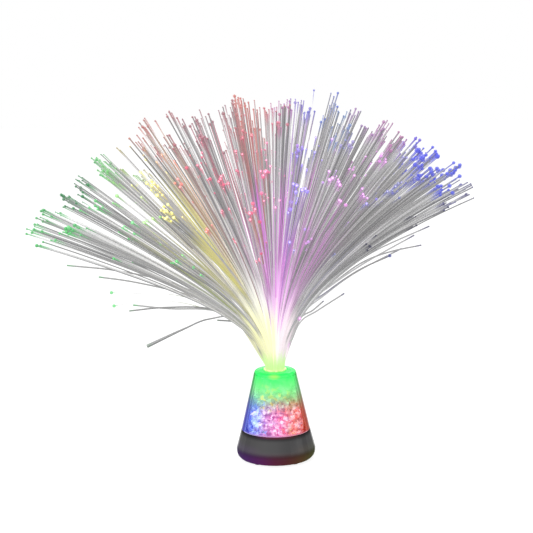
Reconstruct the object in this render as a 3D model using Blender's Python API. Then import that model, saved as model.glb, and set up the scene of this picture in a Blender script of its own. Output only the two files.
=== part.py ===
# Battery lamp with a spray of light-guiding fibres: a black base with three cells and a slide switch,
# a clear cone full of cracked-ice crystals lit by five lamps on a board, and a plug-in fibre spray.
# Metres, +Z up. The origin is on the lamp's axis at table height, and -Y is the front.

import math
import random

import bmesh
import bpy
from mathutils import Matrix, Vector

MM = 0.001
SEED = 7

# Clearances and facets
GAP = 0.3 * MM  # between pieces that rest on or locate each other
SLIP = 0.15 * MM  # between a foot or a screw head and its seat
OVERRUN = 1.0 * MM  # how far a cutter runs past the face that it cuts
ROUND_SEGMENTS = 32
SMALL_SEGMENTS = 12
ARC_STEPS = 4
GOLDEN_TURN = math.pi * (3 - math.sqrt(5))  # spreads points evenly over a disc or a ball

# Base housing
FOOT_LIFT = 0.8 * MM  # the underside's height above the table
BASE_WALL = 2.0 * MM
BASE_ROOM = 2.4 * MM  # between the tray's corners and the base's widest inside
BASE_ROUND_WIDTH = 5.3 * MM
BASE_ROUND_HEIGHT = 7.0 * MM
SEAM_INSET = 4.7 * MM  # the seam's radius is smaller than the base's by this
FLOOR_THICKNESS = 3.0 * MM
SNAP_GROOVE_DEPTH = 0.4 * MM
SNAP_GROOVE_HEIGHT = 1.6 * MM
SNAP_DROP = 2.4 * MM  # the snap bead's middle below the seam

# Pillars and the screws that close the case
PILLAR_RADIUS = 2.9 * MM
PILLAR_CLEARANCE = 0.45 * MM  # from the tray
PILLAR_INSET = 9.55 * MM  # from the tray's ends
PILLAR_HEIGHT = 8.5 * MM
PILLAR_WEB = 5.5 * MM  # plastic above the screw head
CASE_SCREW_RADIUS = 1.1 * MM
CASE_SCREW_LENGTH = 10.0 * MM
CASE_HEAD_RADIUS = 1.9 * MM
CASE_HEAD_HEIGHT = 1.4 * MM
FOOT_RADIUS = 3.0 * MM
FOOT_STEM_LENGTH = 2.4 * MM

# Cells
CELL_RADIUS = 5.25 * MM
CELL_LENGTH = 44.5 * MM
CELL_PITCH = 10.9 * MM
CELL_SEGMENTS = 16
NUB_RADIUS = 1.9 * MM
NUB_LENGTH = 0.8 * MM
CELL_CREASE = 0.25 * MM

# Battery tray, contacts and springs
TRAY_WALL = 1.0 * MM
TRAY_SIDE_CLEARANCE = 0.5 * MM
TRAY_CORNER_CLEARANCE = 1.2 * MM  # from the contact plates
RIB_WIDTH = 1.2 * MM
RIB_DEPTH = 2.6 * MM
PLATE_THICKNESS = 0.5 * MM
PLATE_WIDTH = 8.0 * MM
PLATE_HEIGHT = 8.0 * MM
TAG_WIDTH = 2.4 * MM
TAG_RISE = 0.9 * MM  # above the tray's top
SPRING_SPACE = 3.0 * MM
SPRING_WIRE_RADIUS = 0.25 * MM
SPRING_WIDE_RADIUS = 3.3 * MM
SPRING_NARROW_RADIUS = 1.9 * MM
SPRING_TURNS = 2.5
SPRING_STEPS = 8  # points to a turn

# Battery door, its hooks and its screw
DOOR_THICKNESS = 1.8 * MM
DOOR_LEDGE = 1.1 * MM
OPENING_END_LEDGE = 1.55 * MM  # floor below the contacts
OPENING_CORNER_INSET = 1.8 * MM
HOOK_X = 7.0 * MM
HOOK_WIDTH = 4.0 * MM
HOOK_THICKNESS = 1.0 * MM
HOOK_REACH = 1.1 * MM  # past the edge of the opening's ledge
HOOK_SWEEP = 2.3 * MM  # room for the hooks above the ledge
EAR_RADIUS = 3.3 * MM
DOOR_SCREW_RADIUS = 1.1 * MM
DOOR_SCREW_LENGTH = 4.0 * MM
DOOR_SCREW_PLAY = 0.55 * MM  # lets the screw swing out with the door
DOOR_HEAD_RADIUS = 2.1 * MM
DOOR_HEAD_HEIGHT = 0.8 * MM
DOOR_BOSS_RADIUS = 2.5 * MM
DOOR_BOSS_CLEARANCE = 0.85 * MM  # from the tray
DOOR_BOSS_HEIGHT = 3.6 * MM
DOOR_RIB_X = 10.0 * MM
DOOR_RIB_HALF_LENGTH = 12.0 * MM
DOOR_RIB_WIDTH = 1.2 * MM
CROSS_WIDTH = 0.6 * MM
CROSS_SHARE = 1.3  # the cross recess's length as a share of the head's radius
CROSS_DEPTH = 0.5 * MM

# Slide switch
SWITCH_CLEARANCE = 4.65 * MM  # from the tray
SWITCH_LENGTH = 8.6 * MM
SWITCH_WIDTH = 3.8 * MM
SWITCH_HEIGHT = 3.4 * MM
SWITCH_FRAME_THICKNESS = 0.5 * MM
SWITCH_FRAME_END = 1.7 * MM  # past the middle of its screw
SWITCH_POST_CLEARANCE = 1.6 * MM  # from the switch's body
SWITCH_POST_RADIUS = 1.6 * MM
SWITCH_POST_HEIGHT = 2.0 * MM
SWITCH_TRAVEL = 2.0 * MM
KNOB_LENGTH = 2.0 * MM
KNOB_WIDTH = 1.6 * MM
KNOB_HEAD_LENGTH = 3.0 * MM
KNOB_HEAD_WIDTH = 2.2 * MM
KNOB_HEAD_HEIGHT = 1.0 * MM
KNOB_RECESS = 0.4 * MM  # above the underside
NAIL_RECESS_DEPTH = 1.2 * MM
NAIL_RECESS_MARGIN = 1.6 * MM
TERMINAL_PITCH = 2.5 * MM
TERMINAL_RADIUS = 0.4 * MM
TERMINAL_LENGTH = 1.6 * MM
SMALL_SCREW_RADIUS = 0.8 * MM
SMALL_SCREW_LENGTH = 3.2 * MM
SMALL_HEAD_RADIUS = 1.5 * MM
SMALL_HEAD_HEIGHT = 0.9 * MM

# Deck, circuit board and lamps
WIRE_LANE = 1.9 * MM  # between the tray and the board
DECK_THICKNESS = 1.8 * MM
DECK_WALL_CLEARANCE = 0.7 * MM
DECK_RING_WALL = 1.0 * MM
DECK_RING_HEIGHT = 1.8 * MM
BOARD_RADIUS = 19.0 * MM
BOARD_THICKNESS = 1.2 * MM
BOARD_DROP = 1.5 * MM  # below the deck
BOARD_SCREW_RING = 12.0 * MM
BOARD_POST_RADIUS = 1.8 * MM
SIDE_LED_COUNT = 4
SIDE_LED_RING = 14.8 * MM
LED_RADIUS = 2.5 * MM
LED_FLANGE_RADIUS = 2.9 * MM
LED_FLANGE_HEIGHT = 0.9 * MM
CENTRE_LED_HEIGHT = 8.0 * MM
SIDE_LED_HEIGHT = 2.9 * MM
CHIP_LENGTH = 5.0 * MM
CHIP_WIDTH = 4.0 * MM
CHIP_HEIGHT = 0.8 * MM

# Clear cone and its light tube
CONE_RISE = 54.0 * MM  # from the seam to the flat top
CONE_TAPER = 13.3 * MM  # the top's radius is smaller than the seam's by this
CONE_ROUND = 2.4 * MM
CONE_WALL = 1.9 * MM
CONE_TOP_THICKNESS = 2.0 * MM
SPIGOT_DEPTH = 4.0 * MM
SPIGOT_WALL = 1.3 * MM
SPIGOT_SHOULDER = 1.4 * MM
SNAP_BEAD = 0.25 * MM
SNAP_BEAD_HEIGHT = 0.8 * MM
TUBE_WALL = 1.0 * MM
TOP_RIB_DEPTH = 2.5 * MM

# Fibre spray: ferrule, bundle and strands
BUNDLE_RADIUS = 8.3 * MM
FERRULE_WALL = 0.6 * MM
FERRULE_DEPTH = 23.0 * MM
FLANGE_WIDTH = 1.0 * MM
FLANGE_HEIGHT = 0.7 * MM
BUNDLE_RISE = 0.8 * MM  # above the flange
SLICE_COUNT = 6
SLICE_ROWS = 10  # a slice holds SLICE_ROWS * (SLICE_ROWS + 1) / 2 strands
STRAND_RADIUS = 0.33 * MM
STRAND_LENGTH = 235.5 * MM  # of an upright strand
STRAND_SIDE_EXTRA = 6.2 * MM  # the outermost strands are longer by this
STRAND_LENGTH_SKEW = 4.4 * MM  # shorter by this on the +X side
STRAND_LENGTH_SHARES = (-0.025, 0.02)  # how much a strand's length varies
SHORT_SHARE = 0.16  # of the strands, which are cut shorter
SHORT_CUT_SHARES = (0.03, 0.4)
STRAND_FOOT = 5.0 * MM  # where a strand has left the bundle's face
STRAND_BENDS = (25.0 * MM, 74.0 * MM)  # how far along a strand's corners are
SIDE_LEAN = math.radians(69.0)
SIDE_LEAN_SKEW = math.radians(1.9)  # the -X side leans by this much more
FRONT_LEAN = math.radians(58.0)
STRAND_DROOP = math.radians(3.0)
BEND_LENGTH = 55.5 * MM  # the way in which most of the lean builds up
BEND_LENGTH_SKEW = 21.0 * MM  # longer by this on the +X side
BEND_POWER = 0.9  # below 1 the lean starts at the foot at once, above 1 it waits
PATH_RUNS = 13

# Tufts that the strands gather in
TUFT_COUNT = 100
TUFT_TURN = 0.8
TUFT_PULL_SHARES = (0.7, 0.94)  # how far a strand turns to its tuft's middle
TUFT_SHIFT_SHARE = 0.09  # how far a tuft stands from its even place
TUFT_LENGTH_SHARES = (-0.03, 0.03)
LOOSE_SHARE = 0.14  # of the strands, which join no tuft
STIR_START_SHARE = 0.39
STIR_SHARES = {
    "loose": 0.41421,
    "pull": 0.73205,
    "shift_x": 0.23607,
    "shift_y": 0.64575,
    "tuft_length": 0.31662,
    "length": 0.60555,
    "short": 0.25992,
    "cut": 0.44225,
}

# Cracked-ice crystals
LOWER_CRYSTALS = 6
UPPER_CRYSTALS = 5
LOWER_CRYSTAL_HEIGHT = 18.0 * MM
UPPER_CRYSTAL_HEIGHT = 17.0 * MM
CRYSTAL_CLEARANCE = 0.4 * MM
CRYSTAL_SPACING = 1.2 * MM
CRYSTAL_POINTS = 15
CRYSTAL_TURN_WANDER = 0.3
CRYSTAL_REACH_SHARES = (0.88, 1.0)
CRYSTAL_START_SHARE = 0.25  # of a step, so that the two layers' gaps don't line up

# Wires
WIRE_RADIUS = 0.5 * MM
WIRE_STEP = 2.2 * MM

# Levels and radii that follow
FLOOR_TOP = FOOT_LIFT + FLOOR_THICKNESS
RECESS_TOP = FOOT_LIFT + DOOR_THICKNESS + GAP
CELL_Z = FLOOR_TOP + GAP + CELL_RADIUS
TRAY_BOTTOM = FLOOR_TOP + GAP
TRAY_CEILING = CELL_Z + CELL_RADIUS + GAP
TRAY_TOP = TRAY_CEILING + TRAY_WALL
TRAY_INNER_Y = CELL_PITCH + CELL_RADIUS + TRAY_SIDE_CLEARANCE
TRAY_INNER_X = (CELL_LENGTH + SPRING_SPACE) / 2 + PLATE_THICKNESS + GAP
TRAY_OUTER_X = TRAY_INNER_X + TRAY_WALL
TRAY_OUTER_Y = TRAY_INNER_Y + TRAY_WALL
TRAY_INNER_CORNER = math.hypot(TRAY_INNER_X, CELL_PITCH + PLATE_WIDTH / 2) + TRAY_CORNER_CLEARANCE
PLATE_X = TRAY_INNER_X - GAP - PLATE_THICKNESS / 2
OPENING_HALF_WIDTH = CELL_PITCH + CELL_RADIUS + GAP
OPENING_HALF_LENGTH = TRAY_INNER_X - OPENING_END_LEDGE
OPENING_CORNER_RADIUS = TRAY_INNER_CORNER - OPENING_CORNER_INSET
HINGE_Y = -(OPENING_HALF_WIDTH + DOOR_LEDGE)
EAR_Y = TRAY_OUTER_Y + DOOR_BOSS_CLEARANCE + DOOR_BOSS_RADIUS
SWITCH_Y = -(TRAY_OUTER_Y + SWITCH_CLEARANCE + SWITCH_WIDTH / 2)
PILLAR_Y = TRAY_OUTER_Y + PILLAR_CLEARANCE + PILLAR_RADIUS
PILLAR_X = TRAY_OUTER_X - PILLAR_INSET
PILLARS = [(x, y) for y in (-PILLAR_Y, PILLAR_Y) for x in (-PILLAR_X, PILLAR_X)]
BASE_RADIUS = TRAY_INNER_CORNER + TRAY_WALL + BASE_ROOM + BASE_WALL
BASE_FLAT_RADIUS = BASE_RADIUS - BASE_ROUND_WIDTH
SEAM_RADIUS = BASE_RADIUS - SEAM_INSET
CONE_TOP_RADIUS = SEAM_RADIUS - CONE_TAPER
SPIGOT_RADIUS = SEAM_RADIUS - BASE_WALL - GAP
BOARD_BOTTOM = TRAY_TOP + WIRE_LANE
BOARD_TOP = BOARD_BOTTOM + BOARD_THICKNESS
DECK_BOTTOM = BOARD_TOP + BOARD_DROP
DECK_TOP = DECK_BOTTOM + DECK_THICKNESS
SPIGOT_BOTTOM = DECK_TOP + GAP
BASE_HEIGHT = SPIGOT_BOTTOM + SPIGOT_DEPTH  # the seam with the clear cone
PILLAR_TOP = FLOOR_TOP + PILLAR_HEIGHT
HEAD_SEAT = PILLAR_TOP - PILLAR_WEB
SHELL_BOTTOM = BASE_HEIGHT + GAP
CONE_HEIGHT = BASE_HEIGHT + CONE_RISE
CONE_CEILING = CONE_HEIGHT - CONE_TOP_THICKNESS
FERRULE_INNER = BUNDLE_RADIUS + GAP
FERRULE_OUTER = FERRULE_INNER + FERRULE_WALL
SOCKET_RADIUS = FERRULE_OUTER + GAP
TUBE_OUTER = SOCKET_RADIUS + TUBE_WALL
FLANGE_BOTTOM = CONE_HEIGHT + GAP
FLANGE_TOP = FLANGE_BOTTOM + FLANGE_HEIGHT
BUNDLE_TOP = FLANGE_TOP + BUNDLE_RISE
FERRULE_BOTTOM = CONE_HEIGHT - FERRULE_DEPTH
SWITCH_FRAME_BOTTOM = FLOOR_TOP + SWITCH_POST_HEIGHT + GAP
SWITCH_BODY_BOTTOM = SWITCH_FRAME_BOTTOM + SWITCH_FRAME_THICKNESS + GAP
SWITCH_BODY_TOP = SWITCH_BODY_BOTTOM + SWITCH_HEIGHT
SWITCH_POST_X = SWITCH_LENGTH / 2 + SWITCH_POST_CLEARANCE + SWITCH_POST_RADIUS
SWITCH_FRAME_REACH = SWITCH_POST_X + SWITCH_FRAME_END
KNOB_REST_X = -SWITCH_TRAVEL / 2


def material(name, colour, roughness, metallic=0.0, alpha=1.0, glow=0.0):
    made = bpy.data.materials.new(name)
    made.use_nodes = True
    shader = made.node_tree.nodes["Principled BSDF"]
    shader.inputs["Base Color"].default_value = (*colour, 1.0)
    shader.inputs["Roughness"].default_value = roughness
    shader.inputs["Metallic"].default_value = metallic
    shader.inputs["Alpha"].default_value = alpha
    shader.inputs["Emission Color"].default_value = (*colour, 1.0)
    shader.inputs["Emission Strength"].default_value = glow
    made.diffuse_color = (*colour, alpha)
    return made


def finished(name, shape, made_of):
    """Makes the bmesh an object of one closed, outward-facing mesh."""
    bmesh.ops.recalc_face_normals(shape, faces=shape.faces)
    mesh = bpy.data.meshes.new(name)
    shape.to_mesh(mesh)
    shape.free()
    mesh.materials.append(made_of)
    mesh.shade_smooth()
    mesh.set_sharp_from_angle(angle=math.radians(30))
    thing = bpy.data.objects.new(name, mesh)
    bpy.context.scene.collection.objects.link(thing)
    return thing


def move_origin(thing, point):
    """Puts the object's origin on its joint's axis and leaves its shape where it is."""
    thing.data.transform(Matrix.Translation(-Vector(point)))
    thing.location = point


def add_turned(shape, profile, segments=ROUND_SEGMENTS, centre=(0.0, 0.0), place=None):
    """Adds the solid that a closed (radius, height) outline makes as it turns about a vertical line."""
    rings = []
    for radius, height in profile:
        count = segments if radius > 0 else 1
        turn = 2 * math.pi / count
        ring = []
        for step in range(count):
            point = Vector((radius * math.cos(turn * step), radius * math.sin(turn * step), height))
            point += Vector((*centre, 0.0))
            ring.append(shape.verts.new(place @ point if place else point))
        rings.append(ring)
    for first, second in zip(rings, rings[1:] + rings[:1]):
        for step in range(segments):
            corners = []
            for ring, at in ((first, step), (first, step + 1), (second, step + 1), (second, step)):
                corner = ring[at % len(ring)]
                if corner not in corners:
                    corners.append(corner)
            if len(corners) > 2:
                shape.faces.new(corners)


def add_cylinder(shape, radius, low, high, centre=(0.0, 0.0), segments=SMALL_SEGMENTS):
    add_turned(shape, [(0.0, low), (radius, low), (radius, high), (0.0, high)], segments, centre)


def add_ring(shape, inner, outer, low, high, centre=(0.0, 0.0), segments=ROUND_SEGMENTS):
    add_turned(shape, [(inner, low), (outer, low), (outer, high), (inner, high)], segments, centre)


def add_prism(shape, outline, low, high):
    """Adds a flat outline of (x, y) points, raised from one height to another."""
    bottom = [shape.verts.new((x, y, low)) for x, y in outline]
    top = [shape.verts.new((x, y, high)) for x, y in outline]
    shape.faces.new(bottom[::-1])
    shape.faces.new(top)
    for at in range(len(outline)):
        after = (at + 1) % len(outline)
        shape.faces.new((bottom[at], bottom[after], top[after], top[at]))


def add_box(shape, low, high):
    outline = [(low[0], low[1]), (high[0], low[1]), (high[0], high[1]), (low[0], high[1])]
    add_prism(shape, outline, low[2], high[2])


def cropped_rectangle(half_x, half_y, radius):
    """A rectangle about the axis whose corners a circle cuts off."""
    if math.hypot(half_x, half_y) <= radius:
        return [(half_x, half_y), (-half_x, half_y), (-half_x, -half_y), (half_x, -half_y)]
    first, last = math.asin(half_y / radius), math.acos(half_x / radius)
    points = []
    for quarter in range(4):
        low, high = (last, first) if quarter % 2 == 0 else (math.pi / 2 - first, math.pi / 2 - last)
        for step in range(ARC_STEPS + 1):
            angle = quarter * math.pi / 2 + low + (high - low) * step / ARC_STEPS
            points.append((radius * math.cos(angle), radius * math.sin(angle)))
    return points


def combined(thing, shape, operation):
    """Cuts the bmesh from the object, or joins it on."""
    bmesh.ops.recalc_face_normals(shape, faces=shape.faces)
    mesh = bpy.data.meshes.new("helper")
    shape.to_mesh(mesh)
    shape.free()
    helper = bpy.data.objects.new("helper", mesh)
    bpy.context.scene.collection.objects.link(helper)
    modifier = thing.modifiers.new(operation, "BOOLEAN")
    modifier.operation = operation
    modifier.object = helper
    graph = bpy.context.evaluated_depsgraph_get()
    result = bpy.data.meshes.new_from_object(thing.evaluated_get(graph))
    thing.modifiers.clear()
    thing.data = result
    result.name = thing.name
    bpy.data.objects.remove(helper)
    result.set_sharp_from_angle(angle=math.radians(30))


def arc(centre, radii, first, last, steps=ARC_STEPS):
    """Points of an arc in an outline; the two radii may differ, as on an ellipse."""
    points = []
    for step in range(steps + 1):
        angle = first + (last - first) * step / steps
        points.append((centre[0] + radii[0] * math.cos(angle), centre[1] + radii[1] * math.sin(angle)))
    return points


# Base


def ear_outline(radius):
    """The tongue at the door's free edge: straight sides from inside the door to a round end."""
    root = OPENING_HALF_WIDTH - DOOR_LEDGE
    return [(-radius, root), (radius, root)] + arc((0.0, EAR_Y), (radius, radius), 0.0, math.pi, 2 * ARC_STEPS)


def base_outline(inset):
    """The base's side from the underside's edge to the seam, moved inwards by the inset."""
    radii = (BASE_RADIUS - BASE_FLAT_RADIUS - inset, BASE_ROUND_HEIGHT - inset)
    centre = (BASE_FLAT_RADIUS, FOOT_LIFT + BASE_ROUND_HEIGHT)
    widest = math.radians(12)
    return arc(centre, radii, -math.pi / 2, widest) + [(SEAM_RADIUS - inset, BASE_HEIGHT)]


def base_inner_outline():
    """The inner wall from the floor up to the seam, with the groove that the cone snaps into."""
    wall = [point for point in base_outline(BASE_WALL) if point[1] > FLOOR_TOP]
    bottom, top = wall[-2], wall[-1]

    def on_wall(height, depth):
        share = (height - bottom[1]) / (top[1] - bottom[1])
        return (bottom[0] + (top[0] - bottom[0]) * share + depth, height)

    middle = BASE_HEIGHT - SNAP_DROP
    low, high = middle - SNAP_GROOVE_HEIGHT / 2, middle + SNAP_GROOVE_HEIGHT / 2
    groove = [
        on_wall(low, 0.0),
        on_wall(low, SNAP_GROOVE_DEPTH),
        on_wall(high, SNAP_GROOVE_DEPTH),
        on_wall(high, 0.0),
    ]
    return [(wall[0][0], FLOOR_TOP)] + wall[:-1] + groove + [top]


def make_base_housing(black):
    shape = bmesh.new()
    outer = [(0.0, FOOT_LIFT)] + base_outline(0.0)
    inner = base_inner_outline()[::-1] + [(0.0, FLOOR_TOP)]
    add_turned(shape, outer + inner)
    housing = finished("base_housing", shape, black)

    posts = bmesh.new()
    sunk = FLOOR_TOP - FLOOR_THICKNESS / 2
    for centre in PILLARS:
        add_cylinder(posts, PILLAR_RADIUS, sunk, PILLAR_TOP, centre)
    add_cylinder(posts, DOOR_BOSS_RADIUS, sunk, FLOOR_TOP + DOOR_BOSS_HEIGHT, (0.0, EAR_Y))
    for x in (-SWITCH_POST_X, SWITCH_POST_X):
        add_cylinder(posts, SWITCH_POST_RADIUS, sunk, FLOOR_TOP + SWITCH_POST_HEIGHT, (x, SWITCH_Y))
    combined(housing, posts, "UNION")

    below = FOOT_LIFT - OVERRUN
    recess = bmesh.new()
    outline = cropped_rectangle(
        OPENING_HALF_LENGTH + DOOR_LEDGE, OPENING_HALF_WIDTH + DOOR_LEDGE, OPENING_CORNER_RADIUS + DOOR_LEDGE
    )
    add_prism(recess, outline, below, RECESS_TOP)
    combined(housing, recess, "DIFFERENCE")

    ear = bmesh.new()
    add_prism(ear, ear_outline(EAR_RADIUS + GAP), below, RECESS_TOP)
    combined(housing, ear, "DIFFERENCE")

    opening = bmesh.new()
    outline = cropped_rectangle(OPENING_HALF_LENGTH, OPENING_HALF_WIDTH, OPENING_CORNER_RADIUS)
    add_prism(opening, outline, below, FLOOR_TOP + OVERRUN)
    combined(housing, opening, "DIFFERENCE")

    slot_low = KNOB_REST_X - KNOB_LENGTH / 2 - GAP
    slot_high = KNOB_REST_X + SWITCH_TRAVEL + KNOB_LENGTH / 2 + GAP
    slot_half = KNOB_WIDTH / 2 + GAP
    wide = bmesh.new()
    for centre in PILLARS:
        add_cylinder(wide, CASE_HEAD_RADIUS + SLIP, below, HEAD_SEAT, centre)
    margin = NAIL_RECESS_MARGIN
    add_box(
        wide,
        (slot_low - margin, SWITCH_Y - slot_half - margin, below),
        (slot_high + margin, SWITCH_Y + slot_half + margin, FOOT_LIFT + NAIL_RECESS_DEPTH),
    )
    combined(housing, wide, "DIFFERENCE")

    narrow = bmesh.new()
    for centre in PILLARS:
        add_cylinder(narrow, CASE_SCREW_RADIUS + GAP, below, PILLAR_TOP + OVERRUN, centre)
    boss_top = FLOOR_TOP + DOOR_BOSS_HEIGHT
    add_cylinder(narrow, DOOR_SCREW_RADIUS + DOOR_SCREW_PLAY, below, boss_top + OVERRUN, (0.0, EAR_Y))
    for x in (-SWITCH_POST_X, SWITCH_POST_X):
        post_top = FLOOR_TOP + SWITCH_POST_HEIGHT
        add_cylinder(narrow, SMALL_SCREW_RADIUS + SLIP, FLOOR_TOP, post_top + OVERRUN, (x, SWITCH_Y))
    add_box(
        narrow,
        (slot_low, SWITCH_Y - slot_half, below),
        (slot_high, SWITCH_Y + slot_half, FLOOR_TOP + OVERRUN),
    )
    combined(housing, narrow, "DIFFERENCE")


def make_screw(name, steel, centre, seat, length, radius, head_radius, head_height, up=1):
    """A cross-head screw: up is 1 when it goes in from below, and seat is the head's inner face."""
    shape = bmesh.new()
    outline = [
        (0.0, seat - up * head_height),
        (head_radius, seat - up * head_height),
        (head_radius, seat),
        (radius, seat),
        (radius, seat + up * (length - radius)),
        (0.0, seat + up * length),
    ]
    add_turned(shape, outline, SMALL_SEGMENTS, centre)
    screw = finished(name, shape, steel)
    cross = bmesh.new()
    reach, half = head_radius * CROSS_SHARE / 2, CROSS_WIDTH / 2
    outline = [
        (half, half), (half, reach), (-half, reach), (-half, half), (-reach, half), (-reach, -half),
        (-half, -half), (-half, -reach), (half, -reach), (half, -half), (reach, -half), (reach, half),
    ]
    outer = seat - up * (head_height + OVERRUN)
    inner = seat - up * (head_height - CROSS_DEPTH)
    moved = [(x + centre[0], y + centre[1]) for x, y in outline]
    add_prism(cross, moved, min(outer, inner), max(outer, inner))
    combined(screw, cross, "DIFFERENCE")
    return screw


def make_feet_and_case_screws(rubber, steel):
    for number, centre in enumerate(PILLARS, 1):
        shape = bmesh.new()
        shoulder = FOOT_LIFT - SLIP
        stem = CASE_HEAD_RADIUS - SLIP
        outline = [
            (0.0, 0.0),
            (FOOT_RADIUS, 0.0),
            (FOOT_RADIUS, shoulder),
            (stem, shoulder),
            (stem, FOOT_LIFT + FOOT_STEM_LENGTH),
            (0.0, FOOT_LIFT + FOOT_STEM_LENGTH),
        ]
        add_turned(shape, outline, SMALL_SEGMENTS, centre)
        finished(f"foot_{number}", shape, rubber)
        make_screw(
            f"case_screw_{number}", steel, centre, HEAD_SEAT - SLIP, CASE_SCREW_LENGTH,
            CASE_SCREW_RADIUS, CASE_HEAD_RADIUS, CASE_HEAD_HEIGHT,
        )


# Battery compartment


def cell_places():
    """Each cell's row and the side that its nub points to, in series order."""
    return [(-CELL_PITCH, 1), (0.0, -1), (CELL_PITCH, 1)]


def make_cells(label):
    crease = CELL_CREASE
    body = CELL_LENGTH - NUB_LENGTH
    outline = [
        (0.0, 0.0),
        (CELL_RADIUS - crease, 0.0),
        (CELL_RADIUS, crease),
        (CELL_RADIUS, body - crease),
        (CELL_RADIUS - crease, body),
        (NUB_RADIUS, body),
        (NUB_RADIUS, CELL_LENGTH),
        (0.0, CELL_LENGTH),
    ]
    for number, (y, side) in enumerate(cell_places(), 1):
        shape = bmesh.new()
        add_turned(shape, outline, CELL_SEGMENTS)
        cell = finished(f"battery_cell_{number}", shape, label)
        cell.rotation_euler = (0.0, side * math.pi / 2, 0.0)
        nub_end = PLATE_X - PLATE_THICKNESS / 2 - GAP
        cell.location = (side * (nub_end - CELL_LENGTH), y, CELL_Z)


def make_tray(grey):
    shape = bmesh.new()
    outside = cropped_rectangle(TRAY_OUTER_X, TRAY_OUTER_Y, TRAY_INNER_CORNER + TRAY_WALL)
    add_prism(shape, outside, TRAY_BOTTOM, TRAY_TOP)
    tray = finished("battery_tray", shape, grey)
    hollow = bmesh.new()
    inside = cropped_rectangle(TRAY_INNER_X, TRAY_INNER_Y, TRAY_INNER_CORNER)
    add_prism(hollow, inside, TRAY_BOTTOM - OVERRUN, TRAY_CEILING)
    combined(tray, hollow, "DIFFERENCE")
    ribs = bmesh.new()
    for y in (-CELL_PITCH / 2, CELL_PITCH / 2):
        add_box(
            ribs,
            (-CELL_LENGTH / 3, y - RIB_WIDTH / 2, TRAY_CEILING - RIB_DEPTH),
            (CELL_LENGTH / 3, y + RIB_WIDTH / 2, TRAY_CEILING + TRAY_WALL / 2),
        )
    combined(tray, ribs, "UNION")
    slots = bmesh.new()
    for side, y in ((1, -CELL_PITCH), (-1, CELL_PITCH)):
        half = TAG_WIDTH / 2 + GAP
        reach = PLATE_THICKNESS / 2 + GAP
        add_box(
            slots,
            (side * PLATE_X - reach, y - half, TRAY_CEILING - OVERRUN),
            (side * PLATE_X + reach, y + half, TRAY_TOP + OVERRUN),
        )
    for x in (-HOOK_X, HOOK_X):
        half = HOOK_WIDTH / 2 + GAP
        add_box(
            slots,
            (x - half, -TRAY_OUTER_Y - OVERRUN, TRAY_BOTTOM - OVERRUN),
            (x + half, -TRAY_INNER_Y + OVERRUN, TRAY_BOTTOM + HOOK_SWEEP),
        )
    combined(tray, slots, "DIFFERENCE")


def make_contacts(nickel):
    """Two end contacts with solder tags that rise through the tray, and two plates that bridge cells."""
    low, high = CELL_Z - PLATE_HEIGHT / 2, CELL_Z + PLATE_HEIGHT / 2
    half = PLATE_WIDTH / 2
    plates = (
        ("contact_positive", 1, -CELL_PITCH, -CELL_PITCH, True),
        ("contact_bridge_1", -1, -CELL_PITCH, 0.0, False),
        ("contact_bridge_2", 1, 0.0, CELL_PITCH, False),
        ("contact_negative", -1, CELL_PITCH, CELL_PITCH, True),
    )
    for name, side, first, last, tagged in plates:
        near = side * PLATE_X - PLATE_THICKNESS / 2
        outline = [(first - half, low), (last + half, low), (last + half, high)]
        if tagged:
            tag_top = TRAY_TOP + TAG_RISE
            outline += [(first + TAG_WIDTH / 2, high), (first + TAG_WIDTH / 2, tag_top)]
            outline += [(first - TAG_WIDTH / 2, tag_top), (first - TAG_WIDTH / 2, high)]
        outline += [(first - half, high)]
        shape = bmesh.new()
        inner = [shape.verts.new((near, y, z)) for y, z in outline]
        outer = [shape.verts.new((near + PLATE_THICKNESS, y, z)) for y, z in outline]
        shape.faces.new(inner)
        shape.faces.new(outer[::-1])
        for at in range(len(outline)):
            after = (at + 1) % len(outline)
            shape.faces.new((inner[at], outer[at], outer[after], inner[after]))
        finished(name, shape, nickel)


def tube_along(name, points, radius, made_of, sides_level):
    curve = bpy.data.curves.new(name, "CURVE")
    curve.dimensions = "3D"
    curve.bevel_depth = radius
    curve.bevel_resolution = sides_level
    curve.use_fill_caps = True
    spline = curve.splines.new("POLY")
    spline.points.add(len(points) - 1)
    for place, point in zip(spline.points, points):
        place.co = (*point, 1.0)
    curve.materials.append(made_of)
    thing = bpy.data.objects.new(name, curve)
    bpy.context.scene.collection.objects.link(thing)
    return thing


def make_springs(steel):
    """Conical springs that press on the cells' flat ends, wound by a formula."""
    for number, (y, side) in enumerate(cell_places(), 1):
        plate_face = PLATE_X - PLATE_THICKNESS / 2
        reach = SPRING_SPACE - 2 * GAP - 2 * SPRING_WIRE_RADIUS
        steps = int(SPRING_TURNS * SPRING_STEPS)
        points = []
        for step in range(steps + 1):
            share = step / steps
            radius = SPRING_WIDE_RADIUS + (SPRING_NARROW_RADIUS - SPRING_WIDE_RADIUS) * share
            angle = 2 * math.pi * SPRING_TURNS * share
            x = -side * (plate_face - GAP - SPRING_WIRE_RADIUS - reach * share)
            points.append((x, y + radius * math.cos(angle), CELL_Z + radius * math.sin(angle)))
        tube_along(f"contact_spring_{number}", points, SPRING_WIRE_RADIUS, steel, 1)
        apart = min(
            (Vector(points[at]) - Vector(points[other])).length
            for at in range(steps + 1)
            for other in range(at + SPRING_STEPS // 2, steps + 1)
        )
        print(f"contact_spring_{number}: least gap {(apart - 2 * SPRING_WIRE_RADIUS) / MM:.2f} mm")


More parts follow.
